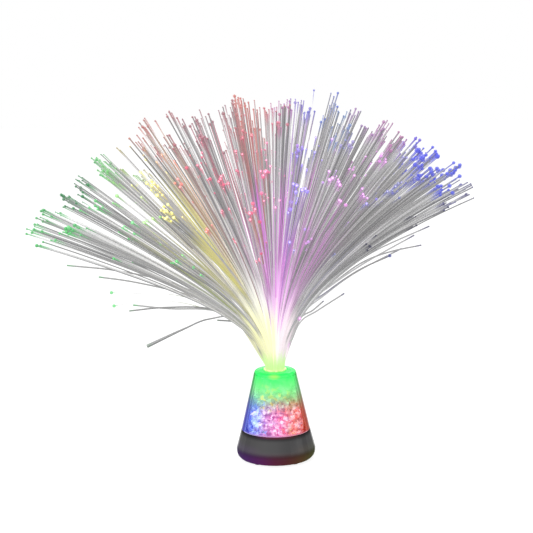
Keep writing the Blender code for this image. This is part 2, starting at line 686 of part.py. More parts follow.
def make_door(black, steel):
    half_x = OPENING_HALF_LENGTH + DOOR_LEDGE - GAP
    half_y = OPENING_HALF_WIDTH + DOOR_LEDGE - GAP
    top = FOOT_LIFT + DOOR_THICKNESS
    shape = bmesh.new()
    add_prism(shape, cropped_rectangle(half_x, half_y, OPENING_CORNER_RADIUS + DOOR_LEDGE - GAP), FOOT_LIFT, top)
    door = finished("battery_door", shape, black)
    ear = bmesh.new()
    add_prism(ear, ear_outline(EAR_RADIUS), FOOT_LIFT, top)
    combined(door, ear, "UNION")
    hooks = bmesh.new()
    leg_outer = -(OPENING_HALF_WIDTH - GAP)
    leg_inner = leg_outer + HOOK_THICKNESS
    lip_bottom = FLOOR_TOP + GAP
    lip_top = lip_bottom + HOOK_THICKNESS
    outline = [
        (leg_inner, FOOT_LIFT + DOOR_THICKNESS / 2), (leg_inner, lip_top),
        (leg_outer - HOOK_REACH - GAP, lip_top), (leg_outer - HOOK_REACH - GAP, lip_bottom),
        (leg_outer, lip_bottom), (leg_outer, FOOT_LIFT + DOOR_THICKNESS / 2),
    ]
    for x in (-HOOK_X, HOOK_X):
        sides = []
        for across in (x - HOOK_WIDTH / 2, x + HOOK_WIDTH / 2):
            sides.append([hooks.verts.new((across, y, z)) for y, z in outline])
        hooks.faces.new(sides[0])
        hooks.faces.new(sides[1][::-1])
        for at in range(len(outline)):
            after = (at + 1) % len(outline)
            hooks.faces.new((sides[0][at], sides[1][at], sides[1][after], sides[0][after]))
    combined(door, hooks, "UNION")
    ribs = bmesh.new()
    for x in (-DOOR_RIB_X, DOOR_RIB_X):
        add_box(
            ribs,
            (x - DOOR_RIB_WIDTH / 2, -DOOR_RIB_HALF_LENGTH, FOOT_LIFT + DOOR_THICKNESS / 2),
            (x + DOOR_RIB_WIDTH / 2, DOOR_RIB_HALF_LENGTH, CELL_Z - CELL_RADIUS - GAP),
        )
    combined(door, ribs, "UNION")
    sink = bmesh.new()
    sink_top = FOOT_LIFT + SLIP + DOOR_HEAD_HEIGHT + SLIP
    add_cylinder(sink, DOOR_HEAD_RADIUS + GAP, FOOT_LIFT - OVERRUN, sink_top, (0.0, EAR_Y))
    combined(door, sink, "DIFFERENCE")
    hole = bmesh.new()
    add_cylinder(hole, DOOR_SCREW_RADIUS + SLIP, FOOT_LIFT - OVERRUN, top + OVERRUN, (0.0, EAR_Y))
    combined(door, hole, "DIFFERENCE")
    hinge = (0.0, HINGE_Y, FOOT_LIFT)
    move_origin(door, hinge)
    screw = make_screw(
        "door_screw", steel, (0.0, EAR_Y), FOOT_LIFT + SLIP + DOOR_HEAD_HEIGHT, DOOR_SCREW_LENGTH,
        DOOR_SCREW_RADIUS, DOOR_HEAD_RADIUS, DOOR_HEAD_HEIGHT,
    )
    move_origin(screw, (0.0, EAR_Y, FOOT_LIFT))
    screw.parent = door
    screw.matrix_parent_inverse = Matrix.Translation(-Vector(hinge))


# Switch


def make_switch(black, steel, ivory):
    shape = bmesh.new()
    half_x, half_y = SWITCH_LENGTH / 2, SWITCH_WIDTH / 2
    add_box(
        shape,
        (-half_x, SWITCH_Y - half_y, SWITCH_BODY_BOTTOM),
        (half_x, SWITCH_Y + half_y, SWITCH_BODY_TOP),
    )
    body = finished("switch_body", shape, black)
    pins = bmesh.new()
    for x in (-TERMINAL_PITCH, 0.0, TERMINAL_PITCH):
        pin_bottom, pin_top = SWITCH_BODY_TOP - SWITCH_HEIGHT / 4, SWITCH_BODY_TOP + TERMINAL_LENGTH
        add_cylinder(pins, TERMINAL_RADIUS, pin_bottom, pin_top, (x, SWITCH_Y))
    combined(body, pins, "UNION")
    pocket = bmesh.new()
    head_low = KNOB_REST_X - KNOB_HEAD_LENGTH / 2 - GAP
    head_high = KNOB_REST_X + SWITCH_TRAVEL + KNOB_HEAD_LENGTH / 2 + GAP
    head_half = KNOB_HEAD_WIDTH / 2 + GAP
    head_bottom = SWITCH_BODY_BOTTOM + GAP
    add_box(
        pocket,
        (head_low, SWITCH_Y - head_half, SWITCH_BODY_BOTTOM - OVERRUN),
        (head_high, SWITCH_Y + head_half, head_bottom + KNOB_HEAD_HEIGHT + GAP),
    )
    combined(body, pocket, "DIFFERENCE")

    plate = bmesh.new()
    frame_top = SWITCH_FRAME_BOTTOM + SWITCH_FRAME_THICKNESS
    add_box(
        plate,
        (-SWITCH_FRAME_REACH, SWITCH_Y - half_y, SWITCH_FRAME_BOTTOM),
        (SWITCH_FRAME_REACH, SWITCH_Y + half_y, frame_top),
    )
    frame = finished("switch_frame", plate, steel)
    holes = bmesh.new()
    low, high = SWITCH_FRAME_BOTTOM - OVERRUN, frame_top + OVERRUN
    for x in (-SWITCH_POST_X, SWITCH_POST_X):
        add_cylinder(holes, SMALL_SCREW_RADIUS + SLIP, low, high, (x, SWITCH_Y))
    stem_half = KNOB_WIDTH / 2 + GAP
    add_box(
        holes,
        (KNOB_REST_X - KNOB_LENGTH / 2 - GAP, SWITCH_Y - stem_half, low),
        (KNOB_REST_X + SWITCH_TRAVEL + KNOB_LENGTH / 2 + GAP, SWITCH_Y + stem_half, high),
    )
    combined(frame, holes, "DIFFERENCE")

    stem = bmesh.new()
    add_box(
        stem,
        (KNOB_REST_X - KNOB_LENGTH / 2, SWITCH_Y - KNOB_WIDTH / 2, FOOT_LIFT + KNOB_RECESS),
        (KNOB_REST_X + KNOB_LENGTH / 2, SWITCH_Y + KNOB_WIDTH / 2, head_bottom + KNOB_HEAD_HEIGHT / 2),
    )
    knob = finished("switch_knob", stem, ivory)
    head = bmesh.new()
    add_box(
        head,
        (KNOB_REST_X - KNOB_HEAD_LENGTH / 2, SWITCH_Y - KNOB_HEAD_WIDTH / 2, head_bottom),
        (KNOB_REST_X + KNOB_HEAD_LENGTH / 2, SWITCH_Y + KNOB_HEAD_WIDTH / 2, head_bottom + KNOB_HEAD_HEIGHT),
    )
    combined(knob, head, "UNION")
    move_origin(knob, (KNOB_REST_X, SWITCH_Y, FOOT_LIFT))

    for number, x in enumerate((-SWITCH_POST_X, SWITCH_POST_X), 1):
        make_screw(
            f"switch_screw_{number}", steel, (x, SWITCH_Y), frame_top + SLIP, SMALL_SCREW_LENGTH - GAP,
            SMALL_SCREW_RADIUS, SMALL_HEAD_RADIUS, SMALL_HEAD_HEIGHT, up=-1,
        )


# Deck, board and lamps


def board_screw_places():
    turns = (math.radians(45), math.radians(225))
    return [(BOARD_SCREW_RING * math.cos(turn), BOARD_SCREW_RING * math.sin(turn)) for turn in turns]


def side_led_places():
    turns = [2 * math.pi * at / SIDE_LED_COUNT for at in range(SIDE_LED_COUNT)]
    return [(SIDE_LED_RING * math.cos(turn), SIDE_LED_RING * math.sin(turn)) for turn in turns]


def wall_radius_at(height):
    """The base's inner radius at a height above its rounded foot."""
    bottom, top = base_outline(BASE_WALL)[-2:]
    return bottom[0] + (top[0] - bottom[0]) * (height - bottom[1]) / (top[1] - bottom[1])


def make_deck(white):
    shape = bmesh.new()
    radius = wall_radius_at(DECK_TOP) - DECK_WALL_CLEARANCE
    ring_outer = SOCKET_RADIUS - GAP
    ring_inner = ring_outer - DECK_RING_WALL
    outline = [
        (0.0, DECK_BOTTOM), (radius, DECK_BOTTOM), (radius, DECK_TOP), (ring_outer, DECK_TOP),
        (ring_outer, DECK_TOP + DECK_RING_HEIGHT), (ring_inner, DECK_TOP + DECK_RING_HEIGHT),
        (ring_inner, DECK_TOP), (0.0, DECK_TOP),
    ]
    add_turned(shape, outline)
    deck = finished("led_deck", shape, white)
    posts = bmesh.new()
    sunk = DECK_BOTTOM + DECK_THICKNESS / 2
    for centre in PILLARS:
        add_cylinder(posts, PILLAR_RADIUS, PILLAR_TOP + GAP, sunk, centre)
    for centre in board_screw_places():
        add_cylinder(posts, BOARD_POST_RADIUS, BOARD_TOP + GAP, sunk, centre)
    combined(deck, posts, "UNION")
    holes = bmesh.new()
    for centre in PILLARS:
        top = HEAD_SEAT + CASE_SCREW_LENGTH + OVERRUN
        add_cylinder(holes, CASE_SCREW_RADIUS + SLIP, PILLAR_TOP - OVERRUN, top, centre)
    for centre in board_screw_places():
        add_cylinder(holes, SMALL_SCREW_RADIUS + SLIP, BOARD_TOP - OVERRUN, sunk, centre)
    for centre in [(0.0, 0.0)] + side_led_places():
        add_cylinder(holes, LED_RADIUS + GAP, DECK_BOTTOM - OVERRUN, DECK_TOP + OVERRUN, centre)
    combined(deck, holes, "DIFFERENCE")


def make_board(green, black, steel):
    shape = bmesh.new()
    add_cylinder(shape, BOARD_RADIUS, BOARD_BOTTOM, BOARD_TOP, segments=ROUND_SEGMENTS)
    board = finished("circuit_board", shape, green)
    holes = bmesh.new()
    for centre in board_screw_places():
        add_cylinder(holes, SMALL_SCREW_RADIUS + SLIP, BOARD_BOTTOM - OVERRUN, BOARD_TOP + OVERRUN, centre)
    combined(board, holes, "DIFFERENCE")
    chip = bmesh.new()
    middle = Vector((-BOARD_SCREW_RING * math.cos(math.pi / 4), BOARD_SCREW_RING * math.sin(math.pi / 4), 0.0))
    chip_bottom = BOARD_BOTTOM - SLIP - CHIP_HEIGHT
    add_box(
        chip,
        (middle.x - CHIP_LENGTH / 2, middle.y - CHIP_WIDTH / 2, chip_bottom),
        (middle.x + CHIP_LENGTH / 2, middle.y + CHIP_WIDTH / 2, chip_bottom + CHIP_HEIGHT),
    )
    finished("controller_chip", chip, black)
    for number, centre in enumerate(board_screw_places(), 1):
        make_screw(
            f"board_screw_{number}", steel, centre, BOARD_BOTTOM - SLIP, SMALL_SCREW_LENGTH,
            SMALL_SCREW_RADIUS, SMALL_HEAD_RADIUS, SMALL_HEAD_HEIGHT,
        )


def make_led(name, lens, centre, height):
    bottom = BOARD_TOP + SLIP
    flange_top = bottom + LED_FLANGE_HEIGHT
    dome = min(LED_RADIUS, height - LED_FLANGE_HEIGHT)
    outline = [(0.0, bottom), (LED_FLANGE_RADIUS, bottom), (LED_FLANGE_RADIUS, flange_top)]
    if height - LED_FLANGE_HEIGHT > LED_RADIUS:
        outline += [(LED_RADIUS, flange_top)]
    dome_base = (0.0, bottom + height - dome)
    outline += arc(dome_base, (LED_RADIUS, dome), 0.0, math.pi / 2)[:-1] + [(0.0, bottom + height)]
    shape = bmesh.new()
    add_turned(shape, outline, SMALL_SEGMENTS, centre)
    finished(name, shape, lens)


# Cone, tube and ferrule


def shell_outer_radius(height):
    share = (height - SHELL_BOTTOM) / (CONE_HEIGHT - SHELL_BOTTOM)
    return SEAM_RADIUS + (CONE_TOP_RADIUS - SEAM_RADIUS) * share


def shell_inner_radius(height):
    return shell_outer_radius(height) - CONE_WALL


def make_cone_shell(clear):
    shape = bmesh.new()
    shoulder = SHELL_BOTTOM + SPIGOT_SHOULDER
    spigot_inner = SPIGOT_RADIUS - SPIGOT_WALL
    bead_middle = BASE_HEIGHT - SNAP_DROP
    round_centre = (CONE_TOP_RADIUS - CONE_ROUND, CONE_HEIGHT - CONE_ROUND)
    rib_inner = TUBE_OUTER + GAP
    rib_outer = rib_inner + TUBE_WALL
    outline = [(SEAM_RADIUS, SHELL_BOTTOM), (shell_outer_radius(round_centre[1]), round_centre[1])]
    outline += arc(round_centre, (CONE_ROUND, CONE_ROUND), math.radians(15), math.pi / 2)
    outline += [
        (SOCKET_RADIUS, CONE_HEIGHT),
        (SOCKET_RADIUS, CONE_CEILING),
        (rib_inner, CONE_CEILING),
        (rib_inner, CONE_CEILING - TOP_RIB_DEPTH),
        (rib_outer, CONE_CEILING - TOP_RIB_DEPTH),
        (rib_outer, CONE_CEILING),
        (shell_inner_radius(CONE_CEILING), CONE_CEILING),
        (shell_inner_radius(shoulder + SPIGOT_WALL), shoulder + SPIGOT_WALL),
        (spigot_inner, shoulder),
        (spigot_inner, SPIGOT_BOTTOM),
        (SPIGOT_RADIUS, SPIGOT_BOTTOM),
        (SPIGOT_RADIUS, bead_middle - SNAP_BEAD_HEIGHT / 2),
        (SPIGOT_RADIUS + SNAP_BEAD, bead_middle),
        (SPIGOT_RADIUS, bead_middle + SNAP_BEAD_HEIGHT / 2),
        (SPIGOT_RADIUS, SHELL_BOTTOM),
    ]
    add_turned(shape, outline)
    finished("cone_shell", shape, clear)


def make_light_tube(clear):
    shape = bmesh.new()
    add_ring(shape, SOCKET_RADIUS, TUBE_OUTER, DECK_TOP + GAP, CONE_CEILING - GAP)
    finished("light_tube", shape, clear)


def make_ferrule(clear):
    shape = bmesh.new()
    outline = [
        (FERRULE_INNER, FERRULE_BOTTOM), (FERRULE_OUTER, FERRULE_BOTTOM), (FERRULE_OUTER, FLANGE_BOTTOM),
        (FERRULE_OUTER + FLANGE_WIDTH, FLANGE_BOTTOM), (FERRULE_OUTER + FLANGE_WIDTH, FLANGE_TOP),
        (FERRULE_INNER, FLANGE_TOP),
    ]
    add_turned(shape, outline)
    return finished("ferrule", shape, clear)


# Fibre spray


def stirred(number, kind, shares=(0.0, 1.0)):
    """A share between the two given, spread evenly over the numbers in a fixed order."""
    return shares[0] + (shares[1] - shares[0]) * ((number * STIR_SHARES[kind] + STIR_START_SHARE) % 1)


def even_place(number):
    """Where a tuft would stand in the spray's unit disc if all stood evenly."""
    reach = math.sqrt((number + 0.5) / TUFT_COUNT)
    turn = number * GOLDEN_TURN + TUFT_TURN
    return Vector((reach * math.cos(turn), reach * math.sin(turn)))


def strand_way(foot, lead, tufts):
    """Where a strand ends in the spray's unit disc, and the number of its tuft."""
    disc = foot.xy / BUNDLE_RADIUS
    tuft = min(range(TUFT_COUNT), key=lambda at: (tufts[at] - disc).length)
    pull = 0.0 if stirred(lead, "loose") < LOOSE_SHARE else stirred(tuft, "pull", TUFT_PULL_SHARES)
    middle = (-TUFT_SHIFT_SHARE / 2, TUFT_SHIFT_SHARE / 2)
    shift = Vector((stirred(tuft, "shift_x", middle), stirred(tuft, "shift_y", middle)))
    way = disc + (tufts[tuft] - disc) * pull + shift
    return way / max(1.0, way.length), tuft


def strand_length(way, lead, tuft):
    spread = stirred(tuft, "tuft_length", TUFT_LENGTH_SHARES) + stirred(lead, "length", STRAND_LENGTH_SHARES)
    length = STRAND_LENGTH + STRAND_SIDE_EXTRA * abs(way.x) - STRAND_LENGTH_SKEW * way.x
    if stirred(lead, "short") < SHORT_SHARE:
        length *= 1 - stirred(lead, "cut", SHORT_CUT_SHARES)
    return length * (1 + spread)


def strand_path(foot, way, length):
    """The strand's line from its foot on the bundle: upright there, then leaning out as the spray opens."""
    leaning = Vector(((SIDE_LEAN - SIDE_LEAN_SKEW * way.x) * way.x, FRONT_LEAN * way.y, 0.0))
    lean, out = leaning.length, leaning.normalized()
    bend = BEND_LENGTH + BEND_LENGTH_SKEW * way.x
    run = length / PATH_RUNS
    place, path = foot.copy(), [foot.copy()]
    for step in range(PATH_RUNS):
        walked = (step + 0.5) * run
        tilt = lean * (1 - math.exp(-((walked / bend) ** BEND_POWER)))
        tilt += STRAND_DROOP * math.sin(lean) * (walked / STRAND_LENGTH) ** 2
        place = place + run * (out * math.sin(tilt) + Vector((0.0, 0.0, math.cos(tilt))))
        path.append(place)
    return path


def point_along(path, share):
    at = share * (len(path) - 1)
    before = min(int(at), len(path) - 2)
    return path[before].lerp(path[before + 1], at - before)


def add_strand(shape, corners, lead, tufts):
    """Carries one triangle of the bundle's face along its strand and closes the tip."""
    foot = sum((corner.co for corner in corners), Vector()) / 3
    way, tuft = strand_way(foot, lead, tufts)
    length = strand_length(way, lead, tuft)
    path = strand_path(foot, way, length)
    arms = [(corner.co - foot).normalized() * STRAND_RADIUS for corner in corners]
    last = corners
    for walked in (STRAND_FOOT, *STRAND_BENDS, length):
        share = walked / length
        centre = point_along(path, share)
        ahead = point_along(path, min(1.0, share + 1 / len(path)))
        behind = point_along(path, max(0.0, share - 1 / len(path)))
        turned = Vector((0.0, 0.0, 1.0)).rotation_difference(ahead - behind)
        ring = [shape.verts.new(centre + turned @ arm) for arm in arms]
        for side in range(3):
            after = (side + 1) % 3
            shape.faces.new((last[side], last[after], ring[after], ring[side]))
        last = ring
    shape.faces.new(last)


def make_fibre_bundle(number, tufts, clear):
    """One slice of the bundle: rows of small triangles, and a strand grows from every other one."""
    shape = bmesh.new()
    slice_turn = 2 * math.pi / SLICE_COUNT
    start = slice_turn * (number - 1)
    middle = start + slice_turn / 2
    shift = Vector((math.cos(middle), math.sin(middle), 0.0)) * (GAP / 2) / math.sin(slice_turn / 2)
    reach = BUNDLE_RADIUS - shift.length
    bottom = FERRULE_BOTTOM + GAP
    rows = []
    for row in range(SLICE_ROWS + 1):
        radius = reach * row / SLICE_ROWS
        turns = [start + slice_turn * at / max(row, 1) for at in range(row + 1)]
        places = [Vector((radius * math.cos(t), radius * math.sin(t), BUNDLE_TOP)) + shift for t in turns]
        rows.append([shape.verts.new(place) for place in places])
    lead = (number - 1) * SLICE_ROWS * (SLICE_ROWS + 1) // 2
    for row in range(SLICE_ROWS):
        near, far = rows[row], rows[row + 1]
        for at in range(row + 1):
            add_strand(shape, [near[at], far[at], far[at + 1]], lead + at, tufts)
        lead += row + 1
        for at in range(row):
            shape.faces.new((near[at], far[at + 1], near[at + 1]))
    edge = [line[0] for line in rows] + rows[-1][1:] + [line[-1] for line in rows[-2:0:-1]]
    foot = [shape.verts.new((vert.co.x, vert.co.y, bottom)) for vert in edge]
    shape.faces.new(foot)
    for at in range(len(edge)):
        after = (at + 1) % len(edge)
        shape.faces.new((edge[at], edge[after], foot[after], foot[at]))
    return finished(f"fibre_bundle_{number}", shape, clear)


# Crystals


def make_crystal(name, clear, turn, width_turn, low, high):
    """A lump of cracked ice that fills its share of the ring between the light tube and the cone."""
    inner = TUBE_OUTER + CRYSTAL_CLEARANCE
    outer = shell_inner_radius(high) - CRYSTAL_CLEARANCE
    places = []
    for at in range(CRYSTAL_POINTS):
        height = 1 - 2 * (at + 0.5) / CRYSTAL_POINTS
        around = at * GOLDEN_TURN + random.uniform(-CRYSTAL_TURN_WANDER, CRYSTAL_TURN_WANDER)
        flat = math.sqrt(1 - height * height)
        reach = random.uniform(*CRYSTAL_REACH_SHARES)
        places.append(Vector((flat * math.cos(around), flat * math.sin(around), height)) * reach)
    lows = [min(place[axis] for place in places) for axis in range(3)]
    highs = [max(place[axis] for place in places) for axis in range(3)]
    shape = bmesh.new()
    for place in places:
        across, along, up = ((place[axis] - lows[axis]) / (highs[axis] - lows[axis]) for axis in range(3))
        radius = inner + (outer - inner) * across
        angle = turn + width_turn * (along - 0.5)
        height = low + (high - low) * up
        shape.verts.new((radius * math.cos(angle), radius * math.sin(angle), height))
    hull = bmesh.ops.convex_hull(shape, input=shape.verts)
    bmesh.ops.delete(shape, geom=hull["geom_interior"], context="VERTS")
    finished(name, shape, clear)


def make_crystals(clear):
    lower_low = DECK_TOP + GAP
    lower_high = lower_low + LOWER_CRYSTAL_HEIGHT
    upper_low = lower_high + GAP
    upper_high = upper_low + UPPER_CRYSTAL_HEIGHT
    for label, count, low, high in (
        ("lower", LOWER_CRYSTALS, lower_low, lower_high),
        ("upper", UPPER_CRYSTALS, upper_low, upper_high),
    ):
        step = 2 * math.pi / count
        spacing = CRYSTAL_SPACING / (TUBE_OUTER + CRYSTAL_CLEARANCE)
        for at in range(count):
            turn = step * (at + CRYSTAL_START_SHARE)
            make_crystal(f"crystal_{label}_{at + 1}", clear, turn, step - spacing, low, high)


# Wires


def smooth_route(points):
    """Evenly spaced points on a smooth curve through the given ones."""
    places = [Vector(point) for point in points]
    places = [2 * places[0] - places[1]] + places + [2 * places[-1] - places[-2]]
    route = []
    for at in range(1, len(places) - 2):
        before, start, end, after = places[at - 1 : at + 3]
        steps = max(1, round((end - start).length / WIRE_STEP))
        for step in range(steps):
            t = step / steps
            point = 2 * start + (end - before) * t
            point += (2 * before - 5 * start + 4 * end - after) * t**2
            point += (3 * start - before - 3 * end + after) * t**3
            route.append(point / 2)
    return route + [places[-2]]


def make_wires(red, black, yellow):
    lane = (TRAY_TOP + BOARD_BOTTOM) / 2  # between the tray and the board
    tag = PLATE_X - PLATE_THICKNESS / 2 - GAP - WIRE_RADIUS
    pin_top = SWITCH_BODY_TOP + TERMINAL_LENGTH + GAP
    beside = TRAY_OUTER_Y + WIRE_STEP
    positive = [
        (tag, -CELL_PITCH, lane),
        (tag - PLATE_WIDTH / 2, -CELL_PITCH, lane),
        (SIDE_LED_RING, -CELL_PITCH / 2, lane),
        (BOARD_SCREW_RING, 0.0, lane),
    ]
    negative = [
        (-tag, CELL_PITCH, lane),
        (-tag + PLATE_WIDTH / 2, CELL_PITCH / 2, lane),
        (-BOARD_SCREW_RING, -CELL_PITCH / 2, lane),
        (-HOOK_X, -TRAY_INNER_Y, lane),
        (-SWITCH_LENGTH / 2, -beside, lane),
        (-TERMINAL_PITCH, SWITCH_Y, pin_top + WIRE_STEP),
        (-TERMINAL_PITCH, SWITCH_Y, pin_top),
    ]
    switched = [
        (0.0, SWITCH_Y, pin_top),
        (0.0, SWITCH_Y, pin_top + WIRE_STEP),
        (WIRE_STEP, -beside, lane),
        (2 * WIRE_STEP, -TRAY_INNER_Y, lane),
        (2 * WIRE_STEP, -CELL_PITCH, lane),
        (WIRE_STEP, -CELL_PITCH / 2, lane),
    ]
    tube_along("wire_positive", smooth_route(positive), WIRE_RADIUS, red, 2)
    tube_along("wire_negative", smooth_route(negative), WIRE_RADIUS, black, 2)
    tube_along("wire_switched", smooth_route(switched), WIRE_RADIUS, yellow, 2)


def clear_scene():
    for thing in list(bpy.data.objects):
        bpy.data.objects.remove(thing)


def main():
    clear_scene()
    random.seed(SEED)
    black = material("gloss_black_plastic", (0.02, 0.02, 0.022), 0.3)
    grey = material("grey_plastic", (0.25, 0.25, 0.26), 0.5)
    white = material("white_plastic", (0.85, 0.85, 0.83), 0.4)
    ivory = material("switch_plastic", (0.8, 0.78, 0.7), 0.45)
    clear = material("clear_plastic", (0.45, 0.95, 0.6), 0.08, alpha=0.35)
    ice = material("ice_crystal", (0.9, 0.75, 0.95), 0.05, alpha=0.6)
    fibre = material("fibre", (0.72, 0.72, 0.7), 0.2, alpha=0.7)
    rubber = material("rubber", (0.05, 0.05, 0.05), 0.8)
    steel = material("zinc_steel", (0.7, 0.7, 0.72), 0.3, metallic=1.0)
    nickel = material("nickel_contact", (0.75, 0.73, 0.68), 0.25, metallic=1.0)
    label = material("cell_jacket", (0.15, 0.35, 0.5), 0.35, metallic=0.5)
    green = material("board_green", (0.03, 0.3, 0.1), 0.5)
    lens = material("led_lens", (0.95, 0.97, 1.0), 0.1, alpha=0.6, glow=1.0)
    red_wire = material("wire_red", (0.6, 0.03, 0.03), 0.5)
    black_wire = material("wire_black", (0.02, 0.02, 0.02), 0.5)
    yellow_wire = material("wire_yellow", (0.75, 0.55, 0.05), 0.5)

    make_base_housing(black)
    make_feet_and_case_screws(rubber, steel)
    make_tray(grey)
    make_cells(label)
    make_contacts(nickel)
    make_springs(nickel)
    make_door(black, steel)
    make_switch(black, steel, ivory)
    make_deck(white)
    make_board(green, black, steel)
    make_led("centre_led", lens, (0.0, 0.0), CENTRE_LED_HEIGHT)
    for number, centre in enumerate(side_led_places(), 1):
        make_led(f"side_led_{number}", lens, centre, SIDE_LED_HEIGHT)
    make_cone_shell(clear)
    make_light_tube(clear)
    spray = bpy.data.objects.new("spray_axis", None)
    bpy.context.scene.collection.objects.link(spray)
    tufts = [even_place(number) for number in range(TUFT_COUNT)]
    for piece in [make_ferrule(clear)] + [make_fibre_bundle(n + 1, tufts, fibre) for n in range(SLICE_COUNT)]:
        piece.parent = spray
    make_crystals(ice)
    make_wires(red_wire, black_wire, yellow_wire)


main()
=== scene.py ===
import math

import bmesh
import bpy
from mathutils import Matrix, Vector


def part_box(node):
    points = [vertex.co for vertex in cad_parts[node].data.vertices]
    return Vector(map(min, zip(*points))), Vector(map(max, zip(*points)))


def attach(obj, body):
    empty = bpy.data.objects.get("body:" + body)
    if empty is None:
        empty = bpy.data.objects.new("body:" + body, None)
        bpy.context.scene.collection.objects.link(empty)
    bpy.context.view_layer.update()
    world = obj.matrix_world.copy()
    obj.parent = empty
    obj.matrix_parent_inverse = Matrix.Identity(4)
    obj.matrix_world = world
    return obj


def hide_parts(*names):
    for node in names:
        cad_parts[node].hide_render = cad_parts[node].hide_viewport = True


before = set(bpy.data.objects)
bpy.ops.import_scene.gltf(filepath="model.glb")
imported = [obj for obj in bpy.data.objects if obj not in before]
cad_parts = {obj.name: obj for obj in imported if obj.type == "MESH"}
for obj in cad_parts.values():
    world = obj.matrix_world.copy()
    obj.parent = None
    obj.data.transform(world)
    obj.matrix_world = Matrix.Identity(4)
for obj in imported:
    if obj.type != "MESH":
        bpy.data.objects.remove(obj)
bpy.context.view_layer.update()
print("frame loaded:", len(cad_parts), "nodes")

mm = 0.001
goldenTurn = math.pi * (3 - math.sqrt(5))
lampAim = Vector((0, 0, 0.15))


# Camera, floor and lamps

cameraSettings = {
    "distance": 1.25,
    "height": 0.39,
    "side": -6.3 * mm,
    "pitchDegrees": -9.82,
    "rollDegrees": -0.8,
    "lens": 97.45,
    "sensor": 36.0,
}

stageSettings = {
    "floorSize": 8.0,
    "worldWhite": (1.0, 1.0, 1.0),
    "worldStrength": 0.7,
    "floorGlow": 0.86,  # what the floor shows the camera besides its lit white
    "floorWhite": (0.28, 0.28, 0.28),
}

lampSettings = [
    {"name": "keyLamp", "place": (-0.9, -1.3, 1.5), "size": (1.1, 1.1), "power": 20.0},
    {"name": "nearStrip", "place": (1.23, -0.90, 0.45), "size": (0.05, 2.4), "power": 0.45},
    {"name": "farStrip", "place": (1.45, -0.27, 0.45), "size": (0.08, 2.4), "power": 0.7},
    {"name": "rimLamp", "place": (0.5, 1.4, 1.2), "size": (1.0, 1.0), "power": 10.0},
]


def addCamera(settings):
    data = bpy.data.cameras.new("photoCamera")
    data.lens = settings["lens"]
    data.sensor_width = settings["sensor"]
    camera = bpy.data.objects.new("photoCamera", data)
    camera.location = (settings["side"], -settings["distance"], settings["height"])
    aim = Matrix.Rotation(math.radians(90 + settings["pitchDegrees"]), 4, "X")
    camera.rotation_euler = (aim @ Matrix.Rotation(math.radians(settings["rollDegrees"]), 4, "Z")).to_euler()
    bpy.context.scene.collection.objects.link(camera)
    bpy.context.scene.camera = camera


def addLamp(settings):
    data = bpy.data.lights.new(settings["name"], "AREA")
    data.shape = "RECTANGLE"
    data.size, data.size_y = settings["size"]
    data.energy = settings["power"]
    lamp = bpy.data.objects.new(settings["name"], data)
    lamp.location = settings["place"]
    aim = lampAim - Vector(settings["place"])
    lamp.rotation_euler = aim.to_track_quat("-Z", "Y").to_euler()
    bpy.context.scene.collection.objects.link(lamp)


# Small tools for node trees

# What a node gives out. Reckoning with it adds a Math node, or a Vector Math node if it is a vector.
class Value:
    def __init__(self, socket):
        self.socket = socket
        self.tree = socket.id_data
        self.isVector = socket.type == "VECTOR"

    def __add__(self, other):
        return calc("ADD", self, other)

    def __sub__(self, other):
        return calc("SUBTRACT", self, other)

    def __rsub__(self, other):
        return calc("SUBTRACT", other, self)

    def __mul__(self, other):
        isTriple = isinstance(other, tuple) or getattr(other, "isVector", False)
        return calc("SCALE" if self.isVector and not isTriple else "MULTIPLY", self, other)

    def __truediv__(self, other):
        return calc("DIVIDE", self, other)

    def __rtruediv__(self, other):
        return calc("DIVIDE", other, self)

    def __pow__(self, other):
        return calc("POWER", self, other)

    def __gt__(self, other):
        return calc("GREATER_THAN", self, other)

    def __lt__(self, other):
        return calc("LESS_THAN", self, other)


def feed(node, inputs):
    for place, value in inputs.items():
        target = node.inputs[place]
        if isinstance(value, Value):
            value.tree.links.new(value.socket, target)
        else:
            target.default_value = value


def addNode(tree, kind, inputs, **options):
    made = tree.nodes.new(kind)
    for label, value in options.items():
        setattr(made, label, value)
    feed(made, inputs)
    return made


def outputOf(tree, kind, inputs, output=0, **options):
    return Value(addNode(tree, kind, inputs, **options).outputs[output])


def firstValue(values):
    return next(value for value in values if isinstance(value, Value))


def calc(operation, *values):
    first = firstValue(values)
    kind = "ShaderNodeVectorMath" if first.isVector else "ShaderNodeMath"
    places = (0, "Scale" if operation == "SCALE" else 1)
    isNumber = not first.isVector or operation in ("LENGTH", "DISTANCE")
    output = "Value" if isNumber else "Vector"
    return outputOf(first.tree, kind, dict(zip(places, values)), output, operation=operation)


def larger(first, second):
    return calc("MAXIMUM", first, second)


def smaller(first, second):
    return calc("MINIMUM", first, second)


def vectorOf(x, y, z):
    values = (x, y, z)
    return outputOf(firstValue(values).tree, "ShaderNodeCombineXYZ", dict(enumerate(values)))


def partsOf(vector):
    return [Value(part) for part in addNode(vector.tree, "ShaderNodeSeparateXYZ", {0: vector}).outputs]


def eased(value, low, high, start=0.0, end=1.0):
    inputs = dict(enumerate((value, low, high, start, end)))
    return outputOf(value.tree, "ShaderNodeMapRange", inputs, interpolation_type="SMOOTHSTEP")


def onRing(radius, turn, height=0.0):
    return vectorOf(radius * calc("COSINE", turn), radius * calc("SINE", turn), height)


def windowed(value, low, high, soft):
    return eased(value, low - soft, low + soft) * eased(value, high - soft, high + soft, 1.0, 0.0)


def between(share, start, end):
    return eased(share, 0.0, 1.0, start, end)


def blended(factor, first, second, mode="MIX"):
    first, second = ((*colour, 1.0) if isinstance(colour, tuple) else colour for colour in (first, second))
    tree = firstValue((factor, first, second)).tree
    inputs = {0: factor, 6: first, 7: second}
    return outputOf(tree, "ShaderNodeMix", inputs, 2, data_type="RGBA", blend_type=mode)


